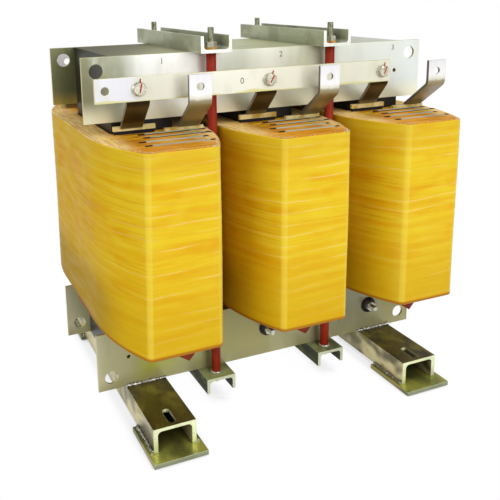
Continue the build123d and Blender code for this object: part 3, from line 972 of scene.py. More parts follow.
# ---------------------------------------------------------------- coils
@dataclass
class Coil:
    """One hand-wound coil: taped skin, ducts, spacer sticks, supports and frayed fibres.

    Attributes:
        side: Which of the three coils it is.
        left_half: Half width of the flat front, left of the middle.
        right_half: Half width of the flat front, right of the middle.
        shift: How far the coil sits from its limb's middle, in mm.
        lean: How far its left front edge leans inwards from bottom to top, in mm.
        corner: Reach of the rounding at the front corners.
        split: Half width, half front, front and corner of the split between the windings.
        outer_ducts: Distances of the outer winding's ducts from the middle.
        inner_ducts: Distances of the inner winding's ducts from the middle.
        duct: Half length and half width of an outer duct, which sits ``duct_offset`` to the right.
        stick: Ends of a spacer stick, left and right of its duct's middle.
        packers: Distance of the packers from the coil's middle.
        wedge: Outline of the support before each plate.
    """

    side: Side
    left_half: float
    right_half: float
    shift: float = 0.0
    lean: float = 0.0
    bottom: float = 192.5
    half_width: float = 111.0
    flat_y: float = 120.0
    front_y: float = 306.0
    corner: float = 9.0
    rim: float = 2.2
    split: tuple[float, float, float, float] = (92.0, 80.0, 205.0, 4.0)
    outer_ducts: tuple[float, ...] = (219.0, 251.0)
    inner_ducts: tuple[float, ...] = (120.0, 157.0, 188.0)
    duct: Point = (63.0, 5.0)
    duct_offset: float = 19.0
    inner_offset: float = 37.0
    sunk: float = 30.0
    stick: Point = (-50.0, 52.0)
    packers: float = 86.0
    wedge: tuple[Point, ...] = ((-33, 196), (-33, 176), (36, 130), (50, 146), (58, 172), (58, 196))
    wedge_length: float = 92.0
    levels: int = 110
    fibres: int = 420

    @property
    def x(self) -> float:
        """Centre of the coil along the core."""
        return self.side.value + self.shift

    def build(self, made: Finishes) -> None:
        """Build everything that belongs to the coil.

        Args:
            made: Every finish by its name.
        """
        self._skin(made["winding_tape"])
        self._ducts(made["duct_painted_shade"])
        self._sticks(made["duct_spacer"])
        self._fringe(made["fibres"])
        self._blocks(made["lead_block"])
        self._supports(made["red_laminate"])

    def plan(self, rise: float = 1.0) -> list[Point]:
        """Plan of the wound skin, from the right side's middle, round by the front.

        Args:
            rise: Height of the plan, from 0 at the bottom to 1 at the top.

        Returns:
            The points of the plan.
        """
        right = self._arm(self.half_width, self.right_half, self.front_y, self.corner)
        left = self._arm(self.half_width, self.left_half - self.lean * rise, self.front_y, self.corner)
        return self._close(right, left)

    def _arm(self, half_x: float, front_half: float, front_y: float, corner: float) -> list[Point]:
        """One quarter of a plan, from the side's middle to the front's middle.

        Args:
            half_x: Half width across the flat sides.
            front_half: Half width of the flat front.
            front_y: Distance of the flat front from the middle.
            corner: Reach of the rounding between arc and front.

        Returns:
            The points: flat side, arc, rounded corner, flat front.
        """
        run = front_y - self.flat_y
        drop = half_x - front_half
        radius = (run * run + drop * drop) / (2.0 * drop)
        sweep = math.asin(run / radius) - corner / radius
        points: list[Point] = [(half_x, self.flat_y * k / 8) for k in range(8)]
        for k in range(18):
            a = sweep * k / 17
            points.append((half_x - radius * (1.0 - math.cos(a)), self.flat_y + radius * math.sin(a)))
        start, turn, end = points[-1], (front_half, front_y), (front_half - corner, front_y)
        for k in range(1, 9):
            t = k / 8
            weights = ((1 - t) ** 2, 2 * t * (1 - t), t * t)
            x, y = (sum(w * p[axis] for w, p in zip(weights, (start, turn, end))) for axis in (0, 1))
            points.append((x, y))
        return points + [(end[0] * (1 - k / 6), front_y) for k in range(1, 6)]

    @staticmethod
    def _close(right: list[Point], left: list[Point]) -> list[Point]:
        """Join a right and a left arm into a closed plan, front at negative Y first."""
        half = [*right, (0.0, right[-1][1]), *[(-x, y) for x, y in reversed(left)]]
        return [(x, -y) for x, y in half] + half[-2:0:-1]

    def _depth(self, x: float, y: float, z: float) -> float:
        """How far the tape lies inside the nominal plan.

        Args:
            x: Place along the core, from the coil's middle.
            y: Place across the core.
            z: Height.

        Returns:
            The depth in mm.
        """
        level = z - TAPE_SLOPE * (x + self.x) + 1.5 * math.sin(x * 0.02 + y * 0.012 + self.x)
        lap = (level / TAPE_PITCH) % 1.0
        step = 0.30 * (1.0 - lap) if lap > 0.1 else 3.0 * lap
        swell = 0.5 * (1.0 + math.sin(x * 0.021 + y * 0.014 + z * 0.019 + self.x))
        return 0.1 + step + swell

    def _outward(self, x: float, y: float) -> Point:
        """Outward direction of the plan at a point, near enough for the relief.

        Args:
            x: Place along the core, from the coil's middle.
            y: Place across the core.

        Returns:
            The direction, of length 1.
        """
        if abs(y) <= self.flat_y:
            return (math.copysign(1.0, x), 0.0)
        if abs(y) > self.front_y - 0.01:
            return (0.0, math.copysign(1.0, y))
        share = (abs(y) - self.flat_y) / (self.front_y - self.flat_y)
        nx, ny = 1.0 - 0.35 * share, 0.62 * share
        size = math.hypot(nx, ny)
        return (math.copysign(nx / size, x), math.copysign(ny / size, y))

    def _skin(self, tape: Material) -> None:
        """The outer winding: a wall with lapped turns, narrow rims and open ducts.

        Args:
            tape: Finish of the winding.
        """
        make = MeshMaker(f"winding_tape_{self.side.label}")
        rim = [self.rim * (1 - math.cos(math.pi / 2 * k / 3)) for k in range(4)]
        height = COIL_TOP - self.bottom
        levels = [self.bottom + r for r in rim]
        for k in range(1, self.levels):
            levels.append(self.bottom + self.rim + (height - 2 * self.rim) * k / self.levels)
        levels += [COIL_TOP - r for r in reversed(rim)]
        walls = []
        for z in levels:
            near = min(z - self.bottom, COIL_TOP - z, self.rim)
            lift = self.rim - math.sqrt(max(0.0, self.rim**2 - (self.rim - near) ** 2))
            ring = []
            for x, y in self.plan((z - self.bottom) / height):
                d = lift + self._depth(x, y, z)
                nx, ny = self._outward(x, y)
                ring.append(make.vert(self.x + x - nx * d, y - ny * d, z))
            walls.append(ring)
        make.skin(walls)
        arm = self._arm(*self.split)
        split = [(self.side.value + x, y) for x, y in self._close(arm, arm)]
        ducts = [make.ring(self._duct(y), COIL_TOP) for y in both(self.outer_ducts)]
        make.fill(walls[0], make.ring(split, self.bottom))
        make.fill(walls[-1], make.ring(split, COIL_TOP), *ducts)
        make.done(tape, f"winding_outer_{self.side.label}", slot="winding_tape")

    def _duct(self, y: float) -> list[Point]:
        """Plan of one outer cooling duct."""
        x, (a, b) = self.x + self.duct_offset, self.duct
        return [(x - a, y - b), (x + a, y - b), (x + a, y + b), (x - a, y + b)]

    def _ducts(self, dark: Material) -> None:
        """Painted shade: dark walls in the outer ducts, dark covers over the ends of the inner ones and a
        dark block at the lead's foot, standing in for the shade in them.

        Args:
            dark: Finish of the painted shade in the ducts.
        """
        make = MeshMaker(f"duct_walls_{self.side.label}")
        # Painted shade: near-black walls inside each outer duct.
        for y in both(self.outer_ducts):
            low = make.ring(self._duct(y), COIL_TOP - self.sunk)
            high = make.ring(self._duct(y), COIL_TOP - 0.05)
            make.skin((low, high), smooth=False)
            make.bm.faces.new(low)
        left, right = self.x - 24, self.x + 102
        for y in both(self.inner_ducts):
            make.box((left, y - 4.5, COIL_TOP - 1.0), (right, y + 4.5, COIL_TOP + 0.5))
        # Painted shade: a dark block at the lead's foot stands in for the shadow there.
        make.box((self.x - 62, -139.5, COIL_TOP), (self.x + 12, -134.0, COIL_TOP + 6.0))
        make.done(dark, slot="winding_tape")

    def _sticks(self, stick: Material) -> None:
        """Pale spacer sticks that stand in each duct.

        Args:
            stick: Finish of the sticks.
        """
        make = MeshMaker(f"spacer_sticks_{self.side.label}")
        rows = [(self.duct_offset, math.copysign(abs(y) + 1.4, y), 1.8) for y in both(self.outer_ducts)]
        rows += [(self.inner_offset, y, 2.1) for y in both(self.inner_ducts)]
        for offset, y, half in rows:
            left, right = (self.x + offset + end for end in self.stick)
            make.box((left, y - half, COIL_TOP - self.sunk + 2), (right, y + half, COIL_TOP + 1.4))
        make.done(stick, f"duct_spacers_{self.side.label}", slot="duct_spacer")

    def _fringe(self, fibre: Material) -> None:
        """Frayed tape along the upper rim, thickest at the corners.

        Args:
            fibre: Finish of the fibres.
        """
        rng = random.Random(101 + int(self.x))
        make = MeshMaker(f"fibres_{self.side.label}")
        front = [p for p in self.plan() if p[1] < -self.flat_y * 0.6]
        front_left, front_right = (-self.left_half, -self.front_y), (self.right_half, -self.front_y)
        corners = (front_left, front_right, (-self.half_width, -150.0))
        for index in range(self.fibres):
            x, y = rng.choice(front)
            if index % 3 == 0:
                cx, cy = rng.choice(corners)
                aims = [(cx + rng.uniform(-16, 16), cy + rng.uniform(-26, 26)) for _ in front]
                x, y = min(zip(front, aims), key=lambda pair: math.dist(*pair))[0]
            nx, ny = self._outward(x, y)
            inset = rng.uniform(2.6, 7.0)
            heading = math.atan2(nx, -ny) + rng.gauss(0.0, 0.30)
            length, width = rng.uniform(3, 12), rng.uniform(0.15, 0.40)
            along = Vector((math.cos(heading), math.sin(heading), 0.0)) * (length / 2)
            wide = Vector((-math.sin(heading), math.cos(heading), 0.0)) * width
            root = Vector((self.x + x - nx * inset, y - ny * inset, COIL_TOP + 0.1))
            rise = Vector((0.0, 0.0, rng.uniform(0.2, 1.3)))
            spine = (root - along, root + rise, root + along)
            make.strip([[make.vert(*(p - wide)), make.vert(*(p + wide))] for p in spine], smooth=True)
        make.done(fibre, slot="winding_tape")

    def _blocks(self, block: Material) -> None:
        """Low laminate blocks against the feet of the leads.

        Args:
            block: Finish of the blocks.
        """
        make = MeshMaker(f"foot_blocks_{self.side.label}")
        make.box((self.x + 27, -154.0, COIL_TOP), (self.x + 101, -147.0, COIL_TOP + 6.5))
        make.box((self.x - 64, -140.0, COIL_TOP + 6.0), (self.x + 14, -134.5, COIL_TOP + 14.5))
        make.box((self.x - 81, 207.0, COIL_TOP), (self.x - 9, 223.0, COIL_TOP + 9.0))
        make.done(block, f"lead_blocks_{self.side.label}", slot="lead_block")

    def _supports(self, laminate: Material) -> None:
        """Red laminate under the coil: packers on the yoke and a wedge before each plate.

        Args:
            laminate: Finish of the supports.
        """
        make = MeshMaker(f"laminate_supports_{self.side.label}")
        for x in both((self.packers,)):
            make.box((self.x + x - 13, -60.0, 168.0), (self.x + x + 13, 60.0, self.bottom))
        for sign in (-1, 1):
            outline = [(self.x + x, sign * PLATE_FACE, z) for x, z in self.wedge]
            make.prism(outline, (0.0, sign * self.wedge_length, 0.0))
        make.done(laminate, f"coil_supports_{self.side.label}", slot="red_laminate")


# ---------------------------------------------------------------- rods and fasteners
@dataclass
class TieRods:
    """Four threaded rods in red sleeves, with their nuts, washers and collars."""

    x: float = 125.0
    y: float = 150.0
    low: float = 33.0
    high: float = 724.0
    sleeve_low: float = 53.0
    sleeve_high: float = 680.0
    sleeve: float = 9.0
    bore: float = 6.5
    core: float = 5.4
    web: float = 6.0
    washer_thick: float = 2.5

    def build(self, made: Finishes) -> None:
        """Build every rod with what is on it.

        Args:
            made: Every finish by its name.
        """
        nuts = MeshMaker("rod_nuts_turned")
        washers = MeshMaker("rod_washers_turned")
        collars = MeshMaker("sleeve_collars")
        a, b, r = self.sleeve_low, self.sleeve_high, self.sleeve
        seat, under = b + self.web, a - self.web
        t = seat + self.washer_thick
        tube_wall = [(self.bore, a), (r - 0.6, a), (r, a + 0.8), (r, b - 0.8), (r - 0.6, b), (self.bore, b)]
        for side, sx in (("left", -1), ("right", 1)):
            for end, sy in (("front", -1), ("rear", 1)):
                centre = Vector((sx * self.x, sy * self.y, 0.0))
                rod = MeshMaker(f"threaded_rod_{end}_{side}")
                rod.thread(centre, "Z", self.low, a)
                rod.thread(centre, "Z", seat - 8.0, self.high)
                rod.lathe(centre, "Z", [(self.core, a - 1.0), (self.core, seat)], 24)
                rod.done(made["threaded_rod"], f"tie_rod_{end}_{side}", slot="threaded_rod")
                tube = MeshMaker(f"sleeve_{end}_{side}")
                tube.lathe(centre, "Z", tube_wall, 48)
                tube.done(made["red_sleeve"], f"rod_sleeve_{end}_{side}", slot="red_sleeve")
                collars.lathe(centre, "Z", [(r + 0.1, a + 3.5), (11.0, a + 3.0), (12.0, a), (r + 0.1, a)])
                washers.lathe(centre, "Z", washer_wall(seat, t, WASHER_RADIUS, 0.0))
                turn = 17.0 * sx + 9.0 * sy
                nuts.hexagon(centre, "Z", t, t + NUT_HEIGHT, turn=turn)
                nuts.hexagon(centre, "Z", under - NUT_HEIGHT, under, turn=-turn)
        nuts.done(made["fastener"], "rod_nuts", slot="fastener")
        washers.done(made["amber_washer"], "rod_washers", slot="amber_washer")
        collars.done(made["fastener"], slot="fastener")


@dataclass
class YokeBolts:
    """Bolts through the yokes: threaded tails, nuts and black insulating washers."""

    heights: Point = (110.5, 622.5)
    washer: float = 17.0
    washer_thick: float = 4.0
    core: float = 5.6
    tail: float = 14.0

    def build(self, made: Finishes) -> None:
        """Build the bolt ends on both faces.

        Args:
            made: Every finish by its name.
        """
        studs = MeshMaker("yoke_studs")
        nuts = MeshMaker("yoke_nuts_turned")
        washers = MeshMaker("yoke_washers_turned")
        for side in Side:
            for z in self.heights:
                centre = Vector((side.value, 0.0, z))
                studs.lathe(centre, "Y", [(self.core, -PLATE_FACE - 5.0), (self.core, PLATE_FACE + 5.0)], 24)
                for s in (-1, 1):
                    a = s * PLATE_FACE
                    b = a + s * self.washer_thick
                    c = b + s * NUT_HEIGHT
                    washers.lathe(centre, "Y", washer_wall(a, b, self.washer, 0.6), 48)
                    nuts.hexagon(centre, "Y", b, c, turn=side.value * 0.13 + z)
                    studs.thread(centre, "Y", *sorted((b, c + s * self.tail)))
        studs.done(made["fastener"], "yoke_bolts", slot="fastener")
        nuts.done(made["fastener"], "yoke_nuts", slot="fastener")
        washers.done(made["black_washer"], "yoke_washers", slot="black_washer")


@dataclass
class NeutralJoints:
    """Neutral bar with the bolts that hold it and their red check stripes.

    Attributes:
        bolts: Place of each bolt along the bar, with the slant of its stripe in degrees.
        lead_back: Back face of the leads that it joins.
    """

    bolts: tuple[Point, ...] = ((-287.5, 78.0), (-48.0, 60.0), (190.5, 66.0))
    end_hole: float = -344.0
    ends: Point = (-361.0, 210.0)
    half: float = 20.0
    z: float = 634.0
    face: float = -226.0
    back: float = -220.0
    lead_back: float = -214.0
    washer_thick: float = 2.5
    head: float = 7.5

    def build(self, made: Finishes) -> None:
        """Build bar, bolts, washers and stripes.

        Args:
            made: Every finish by its name.
        """
        self._bar(made["neutral_bar"])
        bolts = MeshMaker("neutral_bolts_turned")
        washers = MeshMaker("neutral_washers_turned")
        nuts = MeshMaker("neutral_nuts_turned")
        marks = MeshMaker("check_stripes")
        seat = self.face - self.washer_thick
        for index, (x, slant) in enumerate(self.bolts):
            centre = Vector((x, 0.0, self.z))
            washers.lathe(centre, "Y", washer_wall(self.face, seat, WASHER_RADIUS, 0.3))
            bolts.hexagon(centre, "Y", seat, seat - self.head, bore=0.02, turn=14.0 + 23.0 * index)
            nuts.hexagon(centre, "Y", self.lead_back, self.lead_back + NUT_HEIGHT, turn=12.0)
            bolts.thread(centre, "Y", self.lead_back, self.lead_back + 13.0)
            bolts.lathe(centre, "Y", [(5.9, seat), (5.9, self.lead_back + 1.0)], 24)
            self._stripe(marks, centre, seat - self.head, slant)
        bolts.done(made["fastener"], "neutral_bolts", slot="fastener")
        washers.done(made["fastener"], "neutral_washers", slot="fastener")
        nuts.done(made["fastener"], "neutral_nuts", slot="fastener")
        marks.done(made["check_paint"], slot="neutral_bar")

    def _bar(self, tin: Material) -> None:
        """Flat bar with one free hole at its left end.

        Args:
            tin: Finish of the bar.
        """
        make = MeshMaker("neutral_busbar")
        (left, right), low, high = self.ends, self.z - self.half, self.z + self.half
        corners = ((left, low), (right, low), (right, high), (left, high))
        depths = (self.face, self.back)
        walls = [[make.vert(x, y, z) for x, z in corners] for y in depths]
        make.skin(walls, smooth=False)
        make.drill(walls, depths, (self.end_hole, self.z))
        make.done(tin, "neutral_bar", slot="neutral_bar")

    def _stripe(self, make: MeshMaker, centre: Vector, top: float, slant: float) -> None:
        """One painted stripe over the head, down its side and onto the bar.

        Args:
            make: Mesh that takes the stripe.
            centre: Middle of the bolt.
            top: Outer face of the head.
            slant: Direction of the stripe in degrees.
        """
        a = math.radians(slant)
        along, wide = Vector((math.cos(a), 0.0, math.sin(a))), Vector((-math.sin(a), 0.0, math.cos(a)))
        ring = self.face - self.washer_thick - 0.1
        path = ((-5.0, top), (9.4, top), (9.6, ring), (12.2, ring), (12.3, self.face), (17.0, self.face))
        rows = []
        for reach, y in path:
            middle = centre + along * reach + Vector((0.0, y - 0.15, 0.0))
            rows.append([make.vert(*(middle + wide * w)) for w in (-1.2, 1.2)])
        make.strip(rows)


# ---------------------------------------------------------------- leads
class LeadKind(Enum):
    """What a front lead joins; the value is its material slot and its finish."""

    PHASE = "terminal_bar"
    NEUTRAL = "neutral_lead"


@dataclass(frozen=True)
class BentLead:
    """A flat bar bent by hand: out of the coil, up its slope and upright to its joint.

    Attributes:
        kind: What the lead joins.
        side: Coil that it leaves.
        foot: Lower bend, in mm.
        knee: Upper bend.
        buried: Height of the end inside the coil.
        hole_drop: Distance of a phase lead's terminal hole from its top.
        bend: How far each corner's rounding reaches along the bar.
    """

    kind: LeadKind
    side: Side
    foot: Place
    knee: Place
    top: float
    buried: float = 514.0
    hole_drop: float = 20.0
    width: float = 40.0
    thick: float = 6.0
    bend: float = 9.0

    def build(self, made: Finishes) -> None:
        """Build the lead.

        Args:
            made: Every finish by its name.
        """
        node = f"{self.kind.name.lower()}_lead_{self.side.label}"
        make = MeshMaker(f"{node}_bent")
        line = self._rounded()
        rows = []
        for index, point in enumerate(line):
            along = (line[min(index + 1, len(line) - 1)] - line[max(index - 1, 0)]).normalized()
            out = Vector((0.0, -along.z, along.y)).normalized() * (self.thick / 2)
            side = Vector((self.width / 2, 0.0, 0.0))
            corners = (point - side + out, point + side + out, point + side - out, point - side - out)
            rows.append([make.vert(*corner) for corner in corners])
        last = rows.pop()
        base = rows[-1]
        make.skin(rows, smooth=False)
        make.bm.faces.new(rows[0])
        make.bm.faces.new(last)
        for a, b in ((1, 2), (3, 0)):
            make.bm.faces.new((base[a], base[b], last[b], last[a]))
        walls = ([base[0], base[1], last[1], last[0]], [base[3], base[2], last[2], last[3]])
        if self.kind is LeadKind.PHASE:
            x, y, _ = self.knee
            make.drill(walls, (y - self.thick / 2, y + self.thick / 2), (x, self.top - self.hole_drop))
        else:
            for wall in walls:
                make.bm.faces.new(wall)
        make.done(made[self.kind.value], node, slot=self.kind.value)

    def _rounded(self) -> list[Vector]:
        """The middle line from the buried end to the top, with its corners rounded."""
        start, end = (*self.foot[:2], self.buried), (*self.knee[:2], self.top)
        points = [Vector(point) for point in (start, self.foot, self.knee, end)]
        line = [points[0]]
        for before, here, after in zip(points, points[1:], points[2:]):
            enter = here + (before - here).normalized() * self.bend
            leave = here + (after - here).normalized() * self.bend
            for k in range(6):
                t = k / 5
                line.append(enter * (1 - t) ** 2 + here * (2 * t * (1 - t)) + leave * t**2)
        return [*line, points[-1]]


LEADS = (
    BentLead(LeadKind.PHASE, Side.LEFT, (-170.0, -143.0, 549.0), (-192.2, -255.0, 607.0), 655.0),
    BentLead(LeadKind.PHASE, Side.MIDDLE, (84.0, -143.0, 549.0), (55.6, -255.0, 607.0), 655.0),
    BentLead(LeadKind.PHASE, Side.RIGHT, (331.0, -143.0, 549.0), (293.5, -255.0, 607.0), 651.0),
    BentLead(LeadKind.NEUTRAL, Side.LEFT, (-274.5, -131.0, 551.0), (-286.6, -217.0, 610.0), 650.0),
    BentLead(LeadKind.NEUTRAL, Side.MIDDLE, (-27.5, -131.0, 557.0), (-49.1, -217.0, 611.0), 650.0),
    BentLead(LeadKind.NEUTRAL, Side.RIGHT, (226.0, -131.0, 557.0), (190.9, -217.0, 611.0), 650.0),
)


# ---------------------------------------------------------------- welds
@dataclass
class Welds:
    """Lumpy fillet welds between plates, feet and pads."""

    foot_half: float = 40.0
    foot_top: float = 53.0
    pad_top: float = 8.0
    pad_in: float = 193.0
    foot_end: float = 283.0
    size: float = 8.0
    step: float = 1.4

    def build(self, made: Finishes) -> None:
        """Build every bead.

        Args:
            made: Every finish by its name.
        """
        rng = random.Random(5)
        make = MeshMaker("weld_ripples")
        for s in (-1, 1):
            for e in (-1, 1):
                left = s * FOOT_X - self.foot_half

                def on_plate(t: float, u: float, v: float, left: float = left, e: int = e) -> Place:
                    """A point of the bead along a plate."""
                    return (left + t, e * (PLATE_FACE + u), self.foot_top + v)

                self._bead(make, rng, 2 * self.foot_half, on_plate)
                for f in (-1, 1):
                    x = s * FOOT_X + f * self.foot_half

                    def on_pad(t: float, u: float, v: float, x: float = x, f: int = f, e: int = e) -> Place:
                        """A point of the bead along a pad."""
                        return (x + f * u, e * (self.pad_in + t), self.pad_top + v)

                    self._bead(make, rng, self.foot_end - self.pad_in, on_pad)
        make.done(made["weld"], "weld_beads", slot="weld")

    def _bead(
        self,
        make: MeshMaker,
        rng: random.Random,
        length: float,
        place: Callable[[float, float, float], Place],
    ) -> None:
        """One bead.

        Args:
            make: Mesh that takes the bead.
            rng: Source of the ripple.
            length: Length of the bead.
            place: Maps distance, reach and height to a point.
        """
        steps = int(length / self.step)
        lump = [rng.uniform(0.42, 1.0) for _ in range(steps // 4 + 3)]
        rings = []
        for i in range(steps + 1):
            t = length * i / steps
            k, q = i // 4, i % 4 / 4
            size = self.size * (lump[k] * (1 - q) + lump[k + 1] * q)
            size *= 0.90 + 0.10 * math.sin(t * 2.1)
            ring = [make.vert(*place(t, 0.0, 0.0))]
            for j in range(7):
                a = math.pi / 2 * j / 6
                r = size * (0.80 + 0.16 * math.sin(2 * a))
                ring.append(make.vert(*place(t, r * math.cos(a), r * math.sin(a))))
            rings.append(ring)
        make.skin(rings)
        make.fill(rings[0])
        make.fill(rings[-1])


# ---------------------------------------------------------------- marks
@dataclass(frozen=True)
class NumberMark:
    """One painted number on a plate or bar.

    Attributes:
        text: The number.
        place: Middle of its baseline, on the face that carries it, in mm.
        slot: Material slot of what carries it; not used.
        size: Height of the figure.
    """

    text: str
    place: Place
    slot: str = "clamp_plate"
    size: float = 15.0

    def build(self, made: Finishes) -> None:
        """Build the figure as a thin raised shape.

        Args:
            made: Every finish by its name.
        """
        curve = bpy.data.curves.new(f"mark_{self.text}", "FONT")
        curve.body = self.text
        curve.size = self.size * MM
        curve.extrude = 0.05 * MM
        curve.align_x = "CENTER"
        curve.materials.append(made["ink"])
        piece = bpy.data.objects.new(f"mark_{self.text}", curve)
        bpy.context.scene.collection.objects.link(piece)
        mesh = bpy.data.meshes.new_from_object(piece)
        bpy.data.objects.remove(piece)
        middle = Vector(self.place) - Vector((0.0, 0.1, 0.0))
        mesh.transform(Matrix.Translation(middle * MM) @ Matrix.Rotation(math.pi / 2, 4, "X"))
        mark = bpy.data.objects.new(f"number_{self.text}", mesh)
        bpy.context.scene.collection.objects.link(mark)
        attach(mark, BODY)
        LOG.info("%s: %d faces", mark.name, len(mesh.polygons))


MARKS = (
    NumberMark("1", (-211.0, -PLATE_FACE, 662.0)),
    NumberMark("2", (30.0, -PLATE_FACE, 662.0)),
    NumberMark("3", (290.0, -PLATE_FACE, 662.0)),
    NumberMark("0", (-101.0, -226.0, 630.0), "neutral_bar"),
)


# ---------------------------------------------------------------- studio
@dataclass
class Studio:
    """White studio: floor, soft lamps and the camera, a little above and to the left.

    Attributes:
        eye: Place of the camera in mm; its turns are in radians, its sensor and lens in mm.
        shift: How far the picture is moved to the side and up, in widths of the sensor.
        target: Point that the lamps look at, in metres.
        lamps: Place in metres, size and power of each lamp.
    """

    eye: Place = (-644.5, -1319.3, 787.8)
    yaw: float = 0.4000
    pitch: float = 0.2204
    roll: float = -0.0205
    sensor: float = 36.0
    lens: float = 51.3072
    shift: Point = (0.1, -0.2)
    target: Place = (0.0, 0.0, 0.35)
    lamps: tuple[tuple[str, Place, float, float], ...] = (
        ("key", (0.9, -3.4, 2.0), 2.4, 85.0),
        ("fill", (-3.2, -1.4, 1.5), 2.2, 46.0),
        ("top", (0.4, 0.2, 3.4), 2.4, 26.0),
    )

    def build(self) -> None:
        """Build the whole studio."""
        self._camera()
        self._world()
        self._floor()
        for name, place, size, power in self.lamps:
            data = bpy.data.lights.new(name, "AREA")
            data.size = size
            data.energy = power
            lamp = bpy.data.objects.new(name, data)
            lamp.location = place
            lamp.rotation_euler = (Vector(self.target) - Vector(place)).to_track_quat("-Z", "Y").to_euler()
            bpy.context.scene.collection.objects.link(lamp)
        bpy.context.scene.view_settings.view_transform = "Standard"

    def _camera(self) -> None:
        """Place the camera."""
        level = math.cos(self.pitch)
        right = Vector((math.cos(self.yaw), -math.sin(self.yaw), 0.0))
        ahead = Vector((math.sin(self.yaw) * level, math.cos(self.yaw) * level, -math.sin(self.pitch)))
        up = right.cross(ahead)
        r = right * math.cos(self.roll) + up * math.sin(self.roll)
        u = up * math.cos(self.roll) - right * math.sin(self.roll)
        data = bpy.data.cameras.new("camera")
        data.sensor_width = self.sensor
        data.lens = self.lens
        data.shift_x, data.shift_y = self.shift
        camera = bpy.data.objects.new("camera", data)
        turn = Matrix((r, u, -ahead)).transposed().to_4x4()
        camera.matrix_world = Matrix.Translation(Vector(self.eye) * MM) @ turn
        bpy.context.scene.collection.objects.link(camera)
        bpy.context.scene.camera = camera

    @staticmethod
    def _world() -> None:
        """A white world that lights softly and shows pure white behind the part."""
        world = bpy.data.worlds.new("studio")
        world.use_nodes = True
        tree = world.node_tree
        shade = tree.nodes["Background"]
        shade.inputs["Color"].default_value = (1.0, 1.0, 1.0, 1.0)
        path = tree.nodes.new("ShaderNodeLightPath")
        level = tree.nodes.new("ShaderNodeMapRange")
        level.inputs["To Min"].default_value = 0.46
        level.inputs["To Max"].default_value = 1.0
        tree.links.new(path.outputs["Is Camera Ray"], level.inputs["Value"])
        tree.links.new(level.outputs[0], shade.inputs["Strength"])
        bpy.context.scene.world = world

    @staticmethod
    def _floor() -> None:
        """A floor that the camera sees as white, with painted shade where the part meets it and a painted
        shadow inside the foot channels.
        """
        half, z = 9.0, -0.0005
        mesh = bpy.data.meshes.new("floor")
        corners = [(-half, -half, z), (half, -half, z), (half, half, z), (-half, half, z)]
        mesh.from_pydata(corners, [], [(0, 1, 2, 3)])
        floor = bpy.data.objects.new("floor", mesh)
        bpy.context.scene.collection.objects.link(floor)
        sh = Shader("floor")
        # Painted shade: ambient occlusion darkens the white that the camera sees near the part.
        cover = sh.add("AmbientOcclusion", {"Distance": 0.05}, samples=8)
        level = sh.span(cover.outputs["AO"], 0.05, 0.80, 0.0, 1.0)
        place = sh.space.outputs
        # Painted shadow: a fixed strip under each foot channel's slot goes dark.
        offset = sh.minus(place["X"], sh.times(sh.maths("SIGN", place["X"]), FOOT_X))
        inside = sh.band(offset, (-12.0, -8.0), (38.0, 44.0))
        depth = sh.band(place["Y"], (-297.0, -293.0), (-122.0, -114.0))
        level = sh.times(level, sh.minus(1.0, sh.times(inside, depth)))
        glow = sh.add("Emission", {"Color": (1.0, 1.0, 1.0), "Strength": level})
        path = sh.add("LightPath")
        seen = sh.maths("MAXIMUM", path.outputs["Is Camera Ray"], path.outputs["Is Glossy Ray"])
        mixer = sh.add("MixShader", {0: seen, 1: sh.bsdf.outputs[0], 2: glow.outputs[0]})
        sh.put(sh.tree.nodes["Material Output"].inputs["Surface"], mixer.outputs[0])
        mesh.materials.append(sh.finish(Base_Color=(0.72, 0.72, 0.70), Roughness=0.8))


# ---------------------------------------------------------------- the whole part
# Tints along each clamp plate, left to right: painted reflection and shade, light where a plate reflects the
# bright front and dark where it reflects darker parts or lies in their shade.
UPPER_PLATE_TINTS: Stops = (
    (0.0, (0.26, 0.26, 0.15)),
    (0.07, (0.40, 0.42, 0.31)),
    (0.15, (0.92, 0.94, 0.92)),
    (0.30, (0.94, 0.95, 0.92)),
    (0.40, (0.66, 0.69, 0.58)),
    (0.50, (0.84, 0.85, 0.76)),
    (0.62, (0.58, 0.60, 0.44)),
    (0.76, (0.80, 0.84, 0.76)),
    (1.0, (0.78, 0.83, 0.80)),
)
REAR_PLATE_TINTS: Stops = (
    (0.0, (0.20, 0.21, 0.10)),
    (0.06, (0.12, 0.13, 0.055)),
    (0.5, (0.20, 0.21, 0.13)),
    (1.0, (0.30, 0.31, 0.22)),
)
LOWER_PLATE_TINTS: Stops = (
    (0.0, (0.58, 0.54, 0.36)),
    (0.07, (0.50, 0.49, 0.27)),
    (0.12, (0.44, 0.45, 0.05)),
    (0.17, (0.42, 0.42, 0.10)),
    (0.24, (0.36, 0.36, 0.15)),
    (0.45, (0.38, 0.35, 0.14)),
    (0.62, (0.34, 0.32, 0.17)),
    (0.80, (0.34, 0.35, 0.22)),
    (1.0, (0.30, 0.26, 0.08)),
)
NEUTRAL_BAR_TINTS: Stops = (
    (0.0, (0.72, 0.72, 0.76)),
    (0.085, (0.70, 0.70, 0.73)),
    (0.11, (0.66, 0.66, 0.54)),
    (0.30, (0.80, 0.79, 0.68)),
    (0.50, (0.72, 0.71, 0.58)),
    (1.0, (0.70, 0.70, 0.56)),
)
PHASE_LEAD_TINTS: Stops = (
    (546.0, (0.26, 0.19, 0.05)),
    (558.0, (0.11, 0.07, 0.016)),
    (574.0, (0.30, 0.22, 0.075)),
    (592.0, (0.22, 0.17, 0.065)),
    (610.0, (0.30, 0.26, 0.14)),
    (617.0, (0.74, 0.72, 0.62)),
    (623.0, (0.84, 0.83, 0.84)),
    (661.0, (0.74, 0.73, 0.76)),
)
NEUTRAL_LEAD_TINTS: Stops = (
    (546.0, (0.26, 0.20, 0.06)),
    (562.0, (0.14, 0.105, 0.03)),
    (572.0, (0.012, 0.009, 0.003)),
    (584.0, (0.030, 0.022, 0.008)),
    (598.0, (0.060, 0.048, 0.022)),
    (610.0, (0.018, 0.013, 0.004)),
    (650.0, (0.30, 0.26, 0.14)),
)
